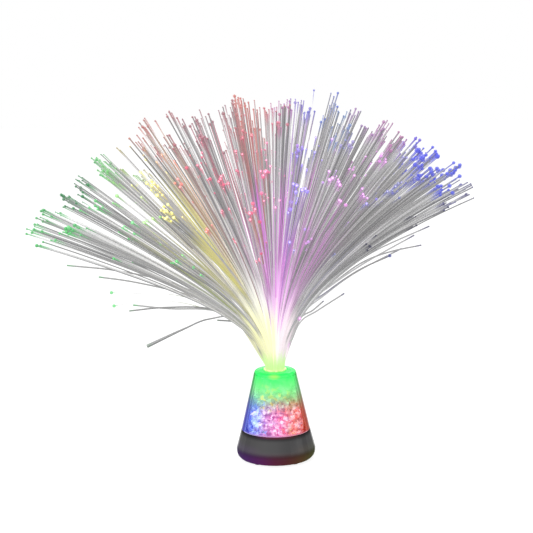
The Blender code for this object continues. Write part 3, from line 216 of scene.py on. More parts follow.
# Each stop is a place with its red, green and blue
def rampOf(factor, stops):
    made = addNode(factor.tree, "ShaderNodeValToRGB", {0: factor})
    points = made.color_ramp.elements
    while len(points) < len(stops):
        points.new(1.0)
    for point, (place, *colour) in zip(points, stops):
        point.position = place
        point.color = (*colour, 1.0)
    return Value(made.outputs[0])


def greyRampOf(factor, levels):
    return rampOf(factor, [(place, level, level, level) for place, level in levels])


def noiseOf(vector, scale, detail=2.0):
    inputs = {"Vector": vector, "Scale": scale, "Detail": detail}
    return outputOf(vector.tree, "ShaderNodeTexNoise", inputs)


def attributeOf(tree, name):
    return outputOf(tree, "ShaderNodeAttribute", {}, "Fac", attribute_name=name)


def objectPlace(tree):
    return outputOf(tree, "ShaderNodeTexCoord", {}, "Object")


def facingAway(tree):
    return outputOf(tree, "ShaderNodeLayerWeight", {"Blend": 0.5}, "Facing")


# Share of a turn round the lamp's axis: 0 at -X, 0.25 in front, 0.5 at +X
def turnShare(x, y):
    return calc("FRACT", calc("ARCTAN2", y, x) / (2 * math.pi) + 0.5)


def spotted(place, centre, outer, inner, most):
    return eased(calc("DISTANCE", place, centre), outer, inner, 0.0, most)


def bumped(shader, height, strength, distance=0.1 * mm):
    inputs = {"Strength": strength, "Distance": distance, "Height": height}
    feed(shader, {"Normal": outputOf(height.tree, "ShaderNodeBump", inputs)})


def aglow(shader, colour, strength, **others):
    feed(shader, {"Base Color": colour, "Emission Color": colour, "Emission Strength": strength, **others})


def newFinish(name, colour=(0.8, 0.8, 0.8), roughness=0.4, metallic=0.0):
    finish = bpy.data.materials.new(name)
    finish.use_nodes = True
    shader = finish.node_tree.nodes["Principled BSDF"]
    feed(shader, {"Base Color": (*colour, 1.0), "Roughness": roughness, "Metallic": metallic})
    return finish, finish.node_tree, shader


def randomOf(low, high, key, seed):
    isVector = isinstance(low, tuple)
    kind = "FLOAT_VECTOR" if isVector else "FLOAT"
    inputs = {0: low, 1: high} if isVector else {2: low, 3: high}
    inputs.update({7: key, 8: seed})
    return outputOf(key.tree, "FunctionNodeRandomValue", inputs, 0 if isVector else 1, data_type=kind)


def fieldOf(tree, kind):
    return outputOf(tree, "GeometryNodeInput" + kind, {})


def named(tree, name):
    return outputOf(tree, "GeometryNodeInputNamedAttribute", {0: name}, data_type="FLOAT")


def startTree(name, sizes):
    tree = bpy.data.node_groups.new(name, "GeometryNodeTree")
    tree.interface.new_socket("Geometry", in_out="OUTPUT", socket_type="NodeSocketGeometry")
    for label, value in sizes.items():
        kind = "NodeSocketInt" if isinstance(value, int) else "NodeSocketFloat"
        tree.interface.new_socket(label, in_out="INPUT", socket_type=kind)
    given = tree.nodes.new("NodeGroupInput").outputs
    return tree, {label: Value(given[label]) for label in sizes}


def geometryStep(tree, kind, geometry, inputs, **options):
    if geometry:
        inputs = {0: geometry, **inputs}
    return outputOf(tree, "GeometryNode" + kind, inputs, **options)


def storeValue(geometry, name, value):
    inputs = {"Name": name, "Value": value}
    return geometryStep(geometry.tree, "StoreNamedAttribute", geometry, inputs, data_type="FLOAT")


def endTree(geometry, finish):
    geometry = geometryStep(geometry.tree, "RealizeInstances", geometry, {})
    geometry = geometryStep(geometry.tree, "SetMaterial", geometry, {"Material": finish})
    feed(geometry.tree.nodes.new("NodeGroupOutput"), {0: geometry})


def grownPiece(name, tree, sizes):
    holder = bpy.data.objects.new(name + "Holder", bpy.data.meshes.new(name + "Holder"))
    bpy.context.scene.collection.objects.link(holder)
    modifier = holder.modifiers.new("grow", "NODES")
    modifier.node_group = tree
    sockets = {s.name: s.identifier for s in tree.interface.items_tree if s.in_out == "INPUT"}
    for label, value in sizes.items():
        modifier[sockets[label]] = value
    graph = bpy.context.evaluated_depsgraph_get()
    mesh = bpy.data.meshes.new_from_object(holder.evaluated_get(graph))
    holder.modifiers.remove(modifier)
    bpy.data.objects.remove(holder)
    mesh.name = name
    piece = bpy.data.objects.new(name, mesh)
    bpy.context.scene.collection.objects.link(piece)
    print(name, "has", len(mesh.polygons), "faces")
    return piece


def turnsOf(count):
    return [2 * math.pi * step / count for step in range(count)]


def turnedPiece(name, outline, finish, segments=128, sharpDegrees=35):
    shape = bmesh.new()
    rings = []
    for radius, height in outline:
        turns = turnsOf(segments if radius > 0 else 1)
        rings.append([shape.verts.new((radius * math.cos(t), radius * math.sin(t), height)) for t in turns])
    for first, second in zip(rings, rings[1:] + rings[:1]):
        for step in range(segments):
            corners = []
            for ring, at in ((first, step), (first, step + 1), (second, step + 1), (second, step)):
                corner = ring[at % len(ring)]
                if corner not in corners:
                    corners.append(corner)
            if len(corners) > 2:
                shape.faces.new(corners)
    bmesh.ops.recalc_face_normals(shape, faces=shape.faces)
    return meshPiece(name, shape, finish, sharpDegrees)


def meshPiece(name, shape, finish, sharpDegrees=35):
    mesh = bpy.data.meshes.new(name)
    shape.to_mesh(mesh)
    shape.free()
    mesh.materials.append(finish)
    mesh.shade_smooth()
    mesh.set_sharp_from_angle(angle=math.radians(sharpDegrees))
    piece = bpy.data.objects.new(name, mesh)
    bpy.context.scene.collection.objects.link(piece)
    return piece


def arcPoints(centre, radii, firstDegrees, lastDegrees, steps=10):
    points = []
    for step in range(steps + 1):
        turn = math.radians(firstDegrees + (lastDegrees - firstDegrees) * step / steps)
        points.append((centre[0] + radii[0] * math.cos(turn), centre[1] + radii[1] * math.sin(turn)))
    return points


# Sizes that the frame gives

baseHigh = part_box("base_housing")[1]
coneLow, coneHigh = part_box("cone_shell")
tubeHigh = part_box("light_tube")[1]
ferruleLow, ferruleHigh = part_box("ferrule")
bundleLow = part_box("fibre_bundle_1")[0]
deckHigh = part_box("led_deck")[1]

shellSettings = {
    "seamInset": 4.7 * mm,
    "taper": 13.3 * mm,
    "rounding": 3.2 * mm,
    "wall": 1.9 * mm,
}
baseRadius = baseHigh.x
seamHeight = baseHigh.z
seamRadius = baseRadius - shellSettings["seamInset"]
coneTop = coneHigh.z
coneTopRadius = seamRadius - shellSettings["taper"]


# Colours of the five lamps, round the cone: blue at -X, magenta in front, red at +X, green behind

ringStops = [
    (0.00, 0.05, 0.06, 0.90), (0.06, 0.16, 0.26, 0.98), (0.12, 0.34, 0.42, 0.95), (0.19, 0.62, 0.16, 0.62),
    (0.27, 0.90, 0.10, 0.48), (0.35, 0.98, 0.17, 0.16), (0.44, 0.95, 0.13, 0.05), (0.52, 0.90, 0.10, 0.03),
    (0.66, 0.45, 0.75, 0.10), (0.78, 0.04, 0.85, 0.25), (0.90, 0.03, 0.45, 0.70), (1.00, 0.05, 0.06, 0.90),
]
topGreen = (0.03, 0.88, 0.15)
paleGreen = (0.30, 0.78, 0.36)


def ringColour(place):
    x, y = partsOf(place)[:2]
    return rampOf(turnShare(x, y), ringStops)


def lampColour(place, roughEdge=0.12):
    low = ringColour(place)
    height = (partsOf(place)[2] - seamHeight) / (coneTop - seamHeight)
    wander = (noiseOf(place, 140.0) - 0.5) * (roughEdge * 2)
    green = blended(eased(height, 0.62, 0.98), paleGreen, topGreen)
    return blended(eased(height + wander, 0.28, 0.74), low, green), height


# Base

# Painted reflections of the lamps' coloured light in the black moulding, and painted sheen: how strongly it
# reflects at each place round it. Both go round by turnShare.
paintedBaseReflectionStops = [
    (0.00, 0.030, 0.008, 0.090), (0.12, 0.050, 0.003, 0.095), (0.19, 0.075, 0.002, 0.070),
    (0.24, 0.080, 0.004, 0.030), (0.30, 0.072, 0.012, 0.012), (0.36, 0.066, 0.030, 0.006),
    (0.42, 0.048, 0.046, 0.006), (0.50, 0.040, 0.056, 0.008), (0.62, 0.020, 0.060, 0.010),
    (0.80, 0.008, 0.050, 0.030), (1.00, 0.030, 0.008, 0.090),
]
paintedSheenLevels = [
    (0.00, 0.80), (0.12, 0.84), (0.20, 1.00), (0.25, 0.93), (0.29, 0.76), (0.325, 0.70),
    (0.347, 0.84), (0.37, 0.70), (0.50, 0.68), (1.00, 0.80),
]


def glossBlack():
    finish, tree, shader = newFinish("glossBlackPlastic", (0.018, 0.017, 0.019), 0.13)
    place = objectPlace(tree)
    x, y, z = partsOf(place)
    turn = turnShare(x, y)
    front = windowed(turn, 0.17, 0.34, 0.05)
    reach = calc("LENGTH", vectorOf(x, y, 0.0))
    # Painted reflections of the lamps' coloured light low on the base and at its front, and painted light on
    # the top rim in front
    paintedFootReflection = eased(z, 15 * mm, 5 * mm) * eased(reach, 25 * mm, 31 * mm, 0.12, 1.0)  # weak underneath
    paintedSideReflection = eased(z, 20 * mm, 12 * mm) * between(front, 0.30, 0.0)
    paintedRimLight = eased(z, 24 * mm, 26.6 * mm) * front
    # Painted sheen: the moulding reflects most in a band at mid height, and more or less at each place round
    # it
    band = windowed(z, 11 * mm, 24 * mm, 3.5 * mm)
    gloss = eased(facingAway(tree), 0.1, 0.75, 0.9, 0.03) * greyRampOf(turn, paintedSheenLevels)
    feed(shader, {
        "Emission Color": blended(paintedRimLight, rampOf(turn, paintedBaseReflectionStops), (0.100, 0.010, 0.030)),
        "Emission Strength": larger(larger(paintedFootReflection, paintedSideReflection), paintedRimLight),
        "Specular IOR Level": gloss * between(band, 0.07, 1.12),
        "Roughness": eased(noiseOf(place, 60.0), 0.3, 0.7, 0.07, 0.09),
    })
    bumped(shader, noiseOf(place, 500.0), 0.02, 0.02 * mm)
    return finish


# Cone

# A painted spot of yellow light on the cone, high at the front
paintedYellowLight = {"centre": (-1 * mm, -17 * mm, 78 * mm), "stretch": (0.7, 0.5, 1.7)}


def coneFinish():
    finish, tree, shader = newFinish("clearConePlastic", (0.5, 0.9, 0.6), 0.08)
    place = objectPlace(tree)
    colour, height = lampColour(place, 0.08)
    x, z = partsOf(place)[::2]
    # Shade at the silhouette: partly the deeper colour of the wall seen edgewise, partly painted shade that
    # is darker on the left edge than on the right
    edge = eased(facingAway(tree), 0.49, 0.67) * eased(z, coneTop - 1.0 * mm, coneTop - 2.2 * mm)
    turnedRight = eased(x, -12 * mm, 12 * mm)  # the left edge is the deeper one
    shadeLow = blended(turnedRight, (0.25, 0.15, 0.46), (0.55, 0.33, 0.38))
    shadeHigh = blended(turnedRight, (0.165, 0.38, 0.28), (0.36, 0.54, 0.37))
    shade = blended(eased(height, 0.40, 0.75), shadeLow, shadeHigh)
    tinted = blended(edge, colour, blended(1.0, colour, shade, "MULTIPLY"))
    # Painted yellow light on the cone, round a point high at the front
    aside = (place - paintedYellowLight["centre"]) * paintedYellowLight["stretch"]
    yellow = eased(calc("LENGTH", aside), 5 * mm, 1 * mm, 0.0, 0.42)
    tinted = blended(yellow, tinted, (0.72, 0.92, 0.10))
    # Painted shade: a dark green line in the groove under the rim
    groove = windowed(z, coneTop - 3.7 * mm, coneTop - 3.2 * mm, 0.25 * mm)
    tinted = blended(groove * 0.5, tinted, (0.0, 0.42, 0.08))
    # Painted light: a pale glowing ring along the seam, fading towards the edges
    seam = eased(z, seamHeight + 1.1 * mm, seamHeight + 0.5 * mm) * eased(edge, 0.2, 1.0, 1.0, 0.15)
    tinted = blended(seam * 0.6, tinted, (0.80, 0.62, 0.86))
    strength = eased(height, 0.35, 0.95, 0.14, 0.56) * between(edge, 1.0, 0.6)
    clear = eased(height, 0.40, 1.0, 0.10, 0.62) + edge * 2.0 + seam * 0.7
    aglow(shader, tinted, larger(strength, seam * 0.3))
    feed(shader, {
        "Specular IOR Level": between(edge, 0.2, 0.03),
        "Roughness": eased(z, coneTop - 6 * mm, coneTop - 3 * mm, 0.08, 0.3),
        "Alpha": smaller(clear, 1.0),
    })
    return finish


def coneOutline():
    wall, rounding = shellSettings["wall"], shellSettings["rounding"]
    slope = (coneTopRadius - seamRadius) / (coneTop - coneLow.z)
    ceiling = coneTop - 2 * mm
    socket = ferruleHigh.x - 1 * mm + 0.3 * mm
    start = seamHeight + 0.3 * mm

    def outer(height):
        return seamRadius + slope * (height - start)

    lean = math.atan(-slope)
    centre = (outer(coneTop - rounding) - rounding / math.cos(lean), coneTop - rounding)
    outline = [(seamRadius, start)] + [(outer(h * mm), h * mm) for h in range(30, 76, 5)]
    groove = ((3.9, 0.0), (3.6, 0.2), (3.3, 0.2), (3.0, 0.0))  # how far below the rim and how deep, in mm
    outline += [(outer(coneTop - h * mm) - d * mm, coneTop - h * mm) for h, d in groove]
    outline += arcPoints(centre, (rounding, rounding), math.degrees(lean), 90, 10)
    seat = coneTop - 0.4 * mm
    outline += [(socket + 2.4 * mm, coneTop), (socket + 2.0 * mm, seat), (socket, seat)]
    outline += [(socket, ceiling), (outer(ceiling) - wall, ceiling)]
    outline += [(outer(h * mm) - wall, h * mm) for h in range(75, 29, -5)]
    spigot = seamRadius - 2.3 * mm
    bore = spigot - 1.3 * mm
    outline += [(bore, start), (bore, coneLow.z), (spigot, coneLow.z), (spigot, start)]
    return outline


# Cracked ice

iceSettings = {
    "chipCount": 1250,
    "fillHeight": 47 * mm,
    "smallest": 1.1 * mm,
    "largest": 3.3 * mm,
    "crack": 0.8 * mm,
    "inner": 12.4 * mm,
    "wallGap": 3.0 * mm,
    "wallClear": 2.1 * mm,  # from the cone's outside to the ice
    "spigotClear": 3.8 * mm,
    "slope": 13.3 / 54.0,
    "liftPower": 1.2,  # above 1, more chips lie low
    "spreadPower": 0.6,  # below 1, more chips lie near the wall
}

# How far the chips' corners stay from what is round them, and how far below the seam they start
iceClear = {"ceiling": 2.4 * mm, "deck": 0.3 * mm, "tube": 0.3 * mm, "seam": 0.5 * mm, "sunk": 1.0 * mm}

# Painted pools of light, where the ice glows whiter, more lavender and amber
iceSpots = [
    {"centre": (6 * mm, -27 * mm, 33 * mm), "outer": 13 * mm, "inner": 3 * mm, "most": 0.3},
    {"centre": (-18 * mm, -18 * mm, 38 * mm), "outer": 15 * mm, "inner": 4 * mm, "most": 0.28},
    {"centre": (17 * mm, -25 * mm, 30 * mm), "outer": 9 * mm, "inner": 3 * mm, "most": 0.75},
]


def iceFinish():
    finish, tree, shader = newFinish("crackedIce", (0.9, 0.9, 0.9), 0.08)
    place = objectPlace(tree)
    x = partsOf(place)[0]
    colour, height = lampColour(place)
    chip, fleck = attributeOf(tree, "chip"), attributeOf(tree, "fleck")
    white, lavender, amber = (spotted(place, **spot) for spot in iceSpots)
    drift = eased(noiseOf(place, 170.0, 1.0), 0.35, 0.65)
    bright = chip * 0.5 + drift * 0.5 + (white + lavender)
    lowPale = blended(eased(x, -8 * mm, -17 * mm), (1.0, 0.88, 0.95), (0.52, 0.70, 0.98))
    paleColour = blended(eased(height, 0.36, 0.60), lowPale, (0.45, 0.95, 0.48))
    tinted = blended(eased(bright, 0.25, 1.1, 0.22, 0.95), colour, paleColour)
    # Painted glints: golden flecks on some chips in the green band, and white sparkles low in the ice
    golden = eased(fleck, 0.83, 0.85) * windowed(height, 0.42, 0.84, 0.05)
    golden = golden * windowed(x, -14 * mm, 12 * mm, 3 * mm)
    tinted = blended(golden, tinted, (1.0, 0.86, 0.22))
    tinted = blended(amber, tinted, (0.98, 0.66, 0.24))
    sparkle = eased(fleck, 0.10, 0.08) * eased(height, 0.50, 0.36)
    tinted = blended(sparkle * 0.8, tinted, (1.0, 0.96, 1.0))
    # Painted shade: darker veins between the chips in the lower ice, laid by noise
    dark = blended(1.0, tinted, (0.60, 0.50, 0.66), "MULTIPLY")
    clearOfPaintedShade = larger(eased(noiseOf(place, 330.0, 1.0), 0.36, 0.56), eased(height, 0.45, 0.62))
    shaded = blended(clearOfPaintedShade, dark, tinted)
    aglow(shader, shaded, eased(bright, 0.1, 1.1, 0.14, 0.62))
    feed(shader, {"Specular IOR Level": 0.3})
    return finish


def heldInside(tree, given):
    x, y, z = partsOf(fieldOf(tree, "Position"))
    z = larger(smaller(z, coneTop - iceClear["ceiling"]), deckHigh.z + iceClear["deck"])
    reach = calc("SQRT", x ** 2.0 + y ** 2.0)
    inWall = z > seamHeight + iceClear["seam"]
    clear = (given["wallClear"] - given["spigotClear"]) * inWall + given["spigotClear"]
    climb = larger(z - seamHeight, 0.0) * given["slope"]
    limit = seamRadius - clear - climb
    held = smaller(larger(reach, tubeHigh.x + iceClear["tube"]), limit)
    factor = held / larger(reach, 0.1 * mm)
    return vectorOf(x * factor, y * factor, z)


def growIce(finish):
    tree, given = startTree("crackedIceFill", iceSettings)
    index = fieldOf(tree, "Index")
    height = randomOf(0.0, 1.0, index, 1) ** given["liftPower"] * given["fillHeight"]
    outer = seamRadius - iceClear["seam"] - given["wallGap"] - height * given["slope"]
    innerSquared = given["inner"] ** 2.0
    spread = randomOf(0.0, 1.0, index, 2) ** given["spreadPower"]
    area = (outer ** 2.0 - innerSquared) * spread
    turn = randomOf(0.0, 2 * math.pi, index, 3)
    centre = onRing(calc("SQRT", innerSquared + area), turn, height + (seamHeight - iceClear["sunk"]))
    points = geometryStep(tree, "Points", None, {"Count": given["chipCount"], "Position": centre})
    ball = geometryStep(tree, "MeshIcoSphere", None, {"Radius": 1.0, "Subdivisions": 1})
    angles = randomOf((0.0, 0.0, 0.0), (6.28, 6.28, 6.28), index, 4)
    rotation = outputOf(tree, "FunctionNodeEulerToRotation", {0: angles})
    size = randomOf(0.0, 1.0, index, 5) * (given["largest"] - given["smallest"]) + given["smallest"]
    scale = randomOf((0.65, 0.65, 0.65), (1.2, 1.2, 1.2), index, 6) * size
    inputs = {"Instance": ball, "Rotation": rotation, "Scale": scale}
    chips = geometryStep(tree, "InstanceOnPoints", points, inputs)
    chips = geometryStep(tree, "RealizeInstances", chips, {})
    corner = fieldOf(tree, "Index")
    crack = randomOf((-1.0, -1.0, -1.0), (1.0, 1.0, 1.0), corner, 7) * given["crack"]
    chips = geometryStep(tree, "SetPosition", chips, {"Offset": crack})
    chips = geometryStep(tree, "SetPosition", chips, {"Position": heldInside(tree, given)})
    whichChip = calc("FLOOR", corner / 12.0)  # each ball has 12 corners
    chips = storeValue(chips, "chip", randomOf(0.0, 1.0, whichChip, 8))
    chips = storeValue(chips, "fleck", randomOf(0.0, 1.0, whichChip, 9))
    endTree(chips, finish)
    return grownPiece("crackedIce", tree, iceSettings)


# Fibre spray

spraySettings = {
    "sliceCount": 6,
    "rowCount": 10,
    "perLead": 4,  # fibres that share one strand of the bundle
    "fibreSides": 3,
    "tuftCount": 100,
    "pathPoints": 18,
    "bundleRadius": 8.3 * mm,
    "sliceShift": 0.3 * mm,
    "mateApart": 0.27 * mm,
    "stubLow": bundleLow.z,
    "stubHigh": ferruleHigh.z + 0.8 * mm,
    "fibreRadius": 0.55 * mm,
    "neckShare": 0.55,  # how thick a fibre looks at its foot
    "fibreLength": 235.5 * mm,
    "sideExtra": 6.2 * mm,  # how much longer the outermost fibres are
    "sideSkew": 4.4 * mm,
    "sideLean": math.radians(69),
    "leanSkew": math.radians(1.9),
    "frontLean": math.radians(58),
    "bend": 55.5 * mm,  # how far along a fibre has leaned out
    "bendSkew": 21 * mm,
    "bendPower": 0.9,
    "droop": math.radians(3),
    "fullFan": math.radians(71),
    "bendDelay": 0.75,  # how much the bend holds a fibre's tip back
    "forwardDrop": 0.17,  # how far a fibre that leans forward looks lower from the front
    "tuftShift": 0.09,
    "curl": 0.045,
    "shortShare": 0.16,
    "looseShare": 0.14,  # strays between the tufts
    "mateCutShare": 0.20,  # of the fibres beside a strand, which end early
}

tipSettings = {
    "smallest": 0.58 * mm,
    "largest": 1.65 * mm,
    "coreShare": 0.52,
}

# How thick fibres are and how large their beads: places along a fibre or bands of the fan, and factors
thickSettings = {
    "foot": (0.02, 0.3),
    "byFibre": (0.80, 1.20),
    "towardsTip": (0.6, 1.0, 1.0, 1.2),
    "thickFan": (0.26, 0.58, 0.10),
    "inThickFan": (1.0, 1.2),
    "blueFan": (0.47, 0.64, 0.025),
    "blueBeads": (1.0, 1.45),
    "leftFan": (-0.60, -0.68),
    "outerPower": (3.2, 0.9),  # above 1, most beads are small
    "innerPower": 0.9,
    "darkFan": (0.47, 0.52),
    "darkBeads": (1.0, 0.7),
}

outerTipStops = [
    (0.00, 0.10, 0.34, 0.13), (0.06, 0.14, 0.54, 0.20), (0.11, 0.14, 0.54, 0.20), (0.145, 0.07, 0.28, 0.12),
    (0.185, 0.07, 0.28, 0.12), (0.215, 0.16, 0.54, 0.20), (0.245, 0.26, 0.58, 0.24),
    (0.256, 0.40, 0.46, 0.19), (0.270, 0.48, 0.38, 0.19), (0.282, 0.56, 0.24, 0.20),
    (0.33, 0.50, 0.20, 0.22), (0.37, 0.42, 0.21, 0.25), (0.43, 0.38, 0.22, 0.26), (0.46, 0.62, 0.24, 0.21),
    (0.495, 0.62, 0.24, 0.26), (0.52, 0.52, 0.24, 0.48), (0.54, 0.36, 0.24, 0.64), (0.57, 0.18, 0.22, 0.64),
    (0.61, 0.22, 0.34, 0.56), (0.64, 0.44, 0.27, 0.50), (0.71, 0.50, 0.24, 0.42), (0.725, 0.36, 0.18, 0.56),
    (0.742, 0.14, 0.15, 0.74), (0.822, 0.15, 0.18, 0.76), (0.842, 0.18, 0.17, 0.32),
    (1.00, 0.12, 0.11, 0.14),
]

innerTipStops = [
    (0.00, 0.11, 0.54, 0.18), (0.205, 0.18, 0.68, 0.24), (0.225, 0.42, 0.72, 0.26),
    (0.245, 0.80, 0.86, 0.28), (0.260, 0.93, 0.92, 0.30), (0.288, 0.95, 0.86, 0.30),
    (0.300, 0.92, 0.55, 0.30), (0.313, 0.86, 0.30, 0.27), (0.35, 0.72, 0.16, 0.26),
    (0.46, 0.74, 0.18, 0.30), (0.50, 0.84, 0.30, 0.52), (0.53, 0.82, 0.36, 0.84), (0.56, 0.38, 0.30, 0.86),
    (0.60, 0.50, 0.40, 0.86), (0.63, 0.76, 0.36, 0.74), (0.71, 0.66, 0.30, 0.72), (0.73, 0.34, 0.28, 0.74),
    (0.75, 0.16, 0.17, 0.44), (0.79, 0.10, 0.11, 0.30), (0.82, 0.05, 0.05, 0.10), (1.00, 0.04, 0.04, 0.06),
]

# Coloured light in the fibres: its band of the fan, its band along them, its share of them and its colour
streakSettings = [
    ((-0.95, -0.62), (0.12, 0.55), 0.18, (0.34, 0.40, 0.22)),
    ((-0.70, -0.54), (0.20, 0.72), 0.30, (0.50, 0.50, 0.26)),
    ((-0.50, -0.39), (0.34, 0.80), 0.74, (0.76, 0.72, 0.28)),
    ((-0.38, -0.34), (0.60, 0.98), 0.50, (0.68, 0.40, 0.25)),
    ((-0.30, -0.10), (0.40, 1.00), 0.16, (0.48, 0.20, 0.25)),
    ((-0.24, -0.12), (0.14, 0.62), 0.30, (0.66, 0.38, 0.62)),
    ((-0.11, -0.03), (0.74, 1.10), 0.50, (0.62, 0.26, 0.24)),
    ((-0.13, 0.22), (0.06, 0.72), 0.52, (0.80, 0.30, 0.82)),
    ((0.06, 0.13), (0.56, 1.10), 0.26, (0.46, 0.26, 0.66)),
    ((0.16, 0.46), (0.10, 0.72), 0.38, (0.62, 0.34, 0.62)),
    ((0.45, 0.66), (0.25, 0.60), 0.20, (0.24, 0.24, 0.40)),
]


# What makes tufts and fibres differ: shares of a length, and bands of the fan as (low, high, softness)
tuftSettings = {
    "spiralTurn": 0.8,
    "pull": (0.70, 0.94),
    "mateWander": 0.012,
    "byTuft": (-0.03, 0.03),
    "byLead": (-0.025, 0.02),
    "byMate": (-0.03, 0.01),
    "leadCut": (0.03, 0.40),
    "mateCut": 0.23,
    "mateCutSpread": (-0.18, 0.19),
    "yellowFan": (-0.52, -0.40, 0.015),
    "yellowDepth": (-0.45, 0.25, 0.04),  # from front to back
    "yellowCutShare": 0.7,
    "yellowSlant": 0.25,
    "yellowShift": 0.09,
    "blueFan": (0.46, 0.64, 0.02),
    "fewer": 0.25,
}

# Fractions of square and cube roots, so that no two draws by number go together
stirs = {
    "inTuft": 0.41421,
    "pull": 0.73205,
    "shiftX": 0.23607,
    "shiftY": 0.64575,
    "tuftLength": 0.31662,
    "leadLength": 0.60555,
    "isShort": 0.25992,
    "leadCut": 0.44225,
    "start": 0.39,
}


def wholeShare(value, size):
    return calc("FLOOR", (value + 0.5) / size)


def remainderOf(value, whole, size):
    return value - whole * size


def stirred(value, name, low=0.0, high=1.0):
    return calc("FRACT", value * stirs[name] + stirs["start"]) * (high - low) + low


def triangleOf(count):
    return count * (count + 1.0) * 0.5


def leadFoot(given, lead):
    perSlice = triangleOf(given["rowCount"])
    sliceAt = wholeShare(lead, perSlice)
    inSlice = remainderOf(lead, sliceAt, perSlice)
    row = calc("FLOOR", (calc("SQRT", inSlice * 8.0 + 1.01) - 1.0) * 0.5)  # 0.01 against rounding down
    nextRow = row + 1.0
    at = inSlice - row * nextRow * 0.5
    sliceTurn = 2 * math.pi / given["sliceCount"]
    start = sliceAt * sliceTurn
    rowStep = (given["bundleRadius"] - given["sliceShift"]) / given["rowCount"]

    def corner(ring, place):
        return onRing(ring * rowStep, start + place / larger(ring, 1.0) * sliceTurn)

    three = corner(row, at) + corner(nextRow, at) + corner(nextRow, at + 1.0)
    return three * (1 / 3) + onRing(given["sliceShift"], start + sliceTurn * 0.5)


def nearestTuft(tree, given, disc):
    tuft = fieldOf(tree, "Index")
    reach = calc("SQRT", (tuft + 0.5) / given["tuftCount"])
    middle = onRing(reach, tuft * goldenTurn + tuftSettings["spiralTurn"])
    tufts = geometryStep(tree, "Points", None, {"Count": given["tuftCount"], "Position": middle})
    nearest = geometryStep(tree, "SampleNearest", tufts, {"Sample Position": disc})
    inputs = {"Value": fieldOf(tree, "Position"), "Index": nearest}
    return nearest, geometryStep(tree, "SampleIndex", tufts, inputs, data_type="FLOAT_VECTOR")


# Which way a fibre leans, as parts from -1 to 1 across and to the back, drawn to the middle of its tuft
def wayOf(tree, given, lead, strand, isMate, foot):
    disc = foot * (1.0 / given["bundleRadius"])
    tuft, middle = nearestTuft(tree, given, disc)
    inTuft = stirred(lead, "inTuft") > given["looseShare"]
    pull = stirred(tuft, "pull", *tuftSettings["pull"]) * inTuft
    shift = vectorOf(stirred(tuft, "shiftX", -0.5, 0.5), stirred(tuft, "shiftY", -0.5, 0.5), 0.0)
    way = disc + (middle - disc) * pull + shift * given["tuftShift"]
    way = way * (1.0 / larger(calc("LENGTH", way), 1.0))
    wander = randomOf((-1.0, -1.0, 0.0), (1.0, 1.0, 0.0), strand, 22) * tuftSettings["mateWander"]
    return tuft, *partsOf(way + wander * isMate)[:2]


def lengthOf(given, tuft, lead, strand, isMate, fan, wayX, wayY):
    byTuft = stirred(tuft, "tuftLength", *tuftSettings["byTuft"])
    byLead = stirred(lead, "leadLength", *tuftSettings["byLead"])
    spread = byTuft + byLead + isMate * randomOf(*tuftSettings["byMate"], strand, 24)
    extra = given["sideExtra"] * calc("ABSOLUTE", wayX) - given["sideSkew"] * wayX
    length = (given["fibreLength"] + extra) * (spread + 1.0)
    isShort = stirred(lead, "isShort") < given["shortShare"]
    leadCut = isShort * stirred(lead, "leadCut", *tuftSettings["leadCut"])
    yellow = windowed(fan, *tuftSettings["yellowFan"]) * windowed(wayY, *tuftSettings["yellowDepth"])
    blue = windowed(fan, *tuftSettings["blueFan"])
    cutShare = given["mateCutShare"] + yellow * tuftSettings["yellowCutShare"]
    cutShare = cutShare * between(blue, 1.0, tuftSettings["fewer"])
    isCut = randomOf(0.0, 1.0, strand, 25) < cutShare
    mateCut = randomOf(*tuftSettings["mateCutSpread"], strand, 26)
    mateCut = mateCut * between(yellow, 1.0, tuftSettings["fewer"]) + tuftSettings["mateCut"]
    mateCut = mateCut + yellow * (wayY * tuftSettings["yellowSlant"] - tuftSettings["yellowShift"])
    cut = larger(leadCut, isMate * isCut * mateCut)
    return length * (1.0 - cut), cut


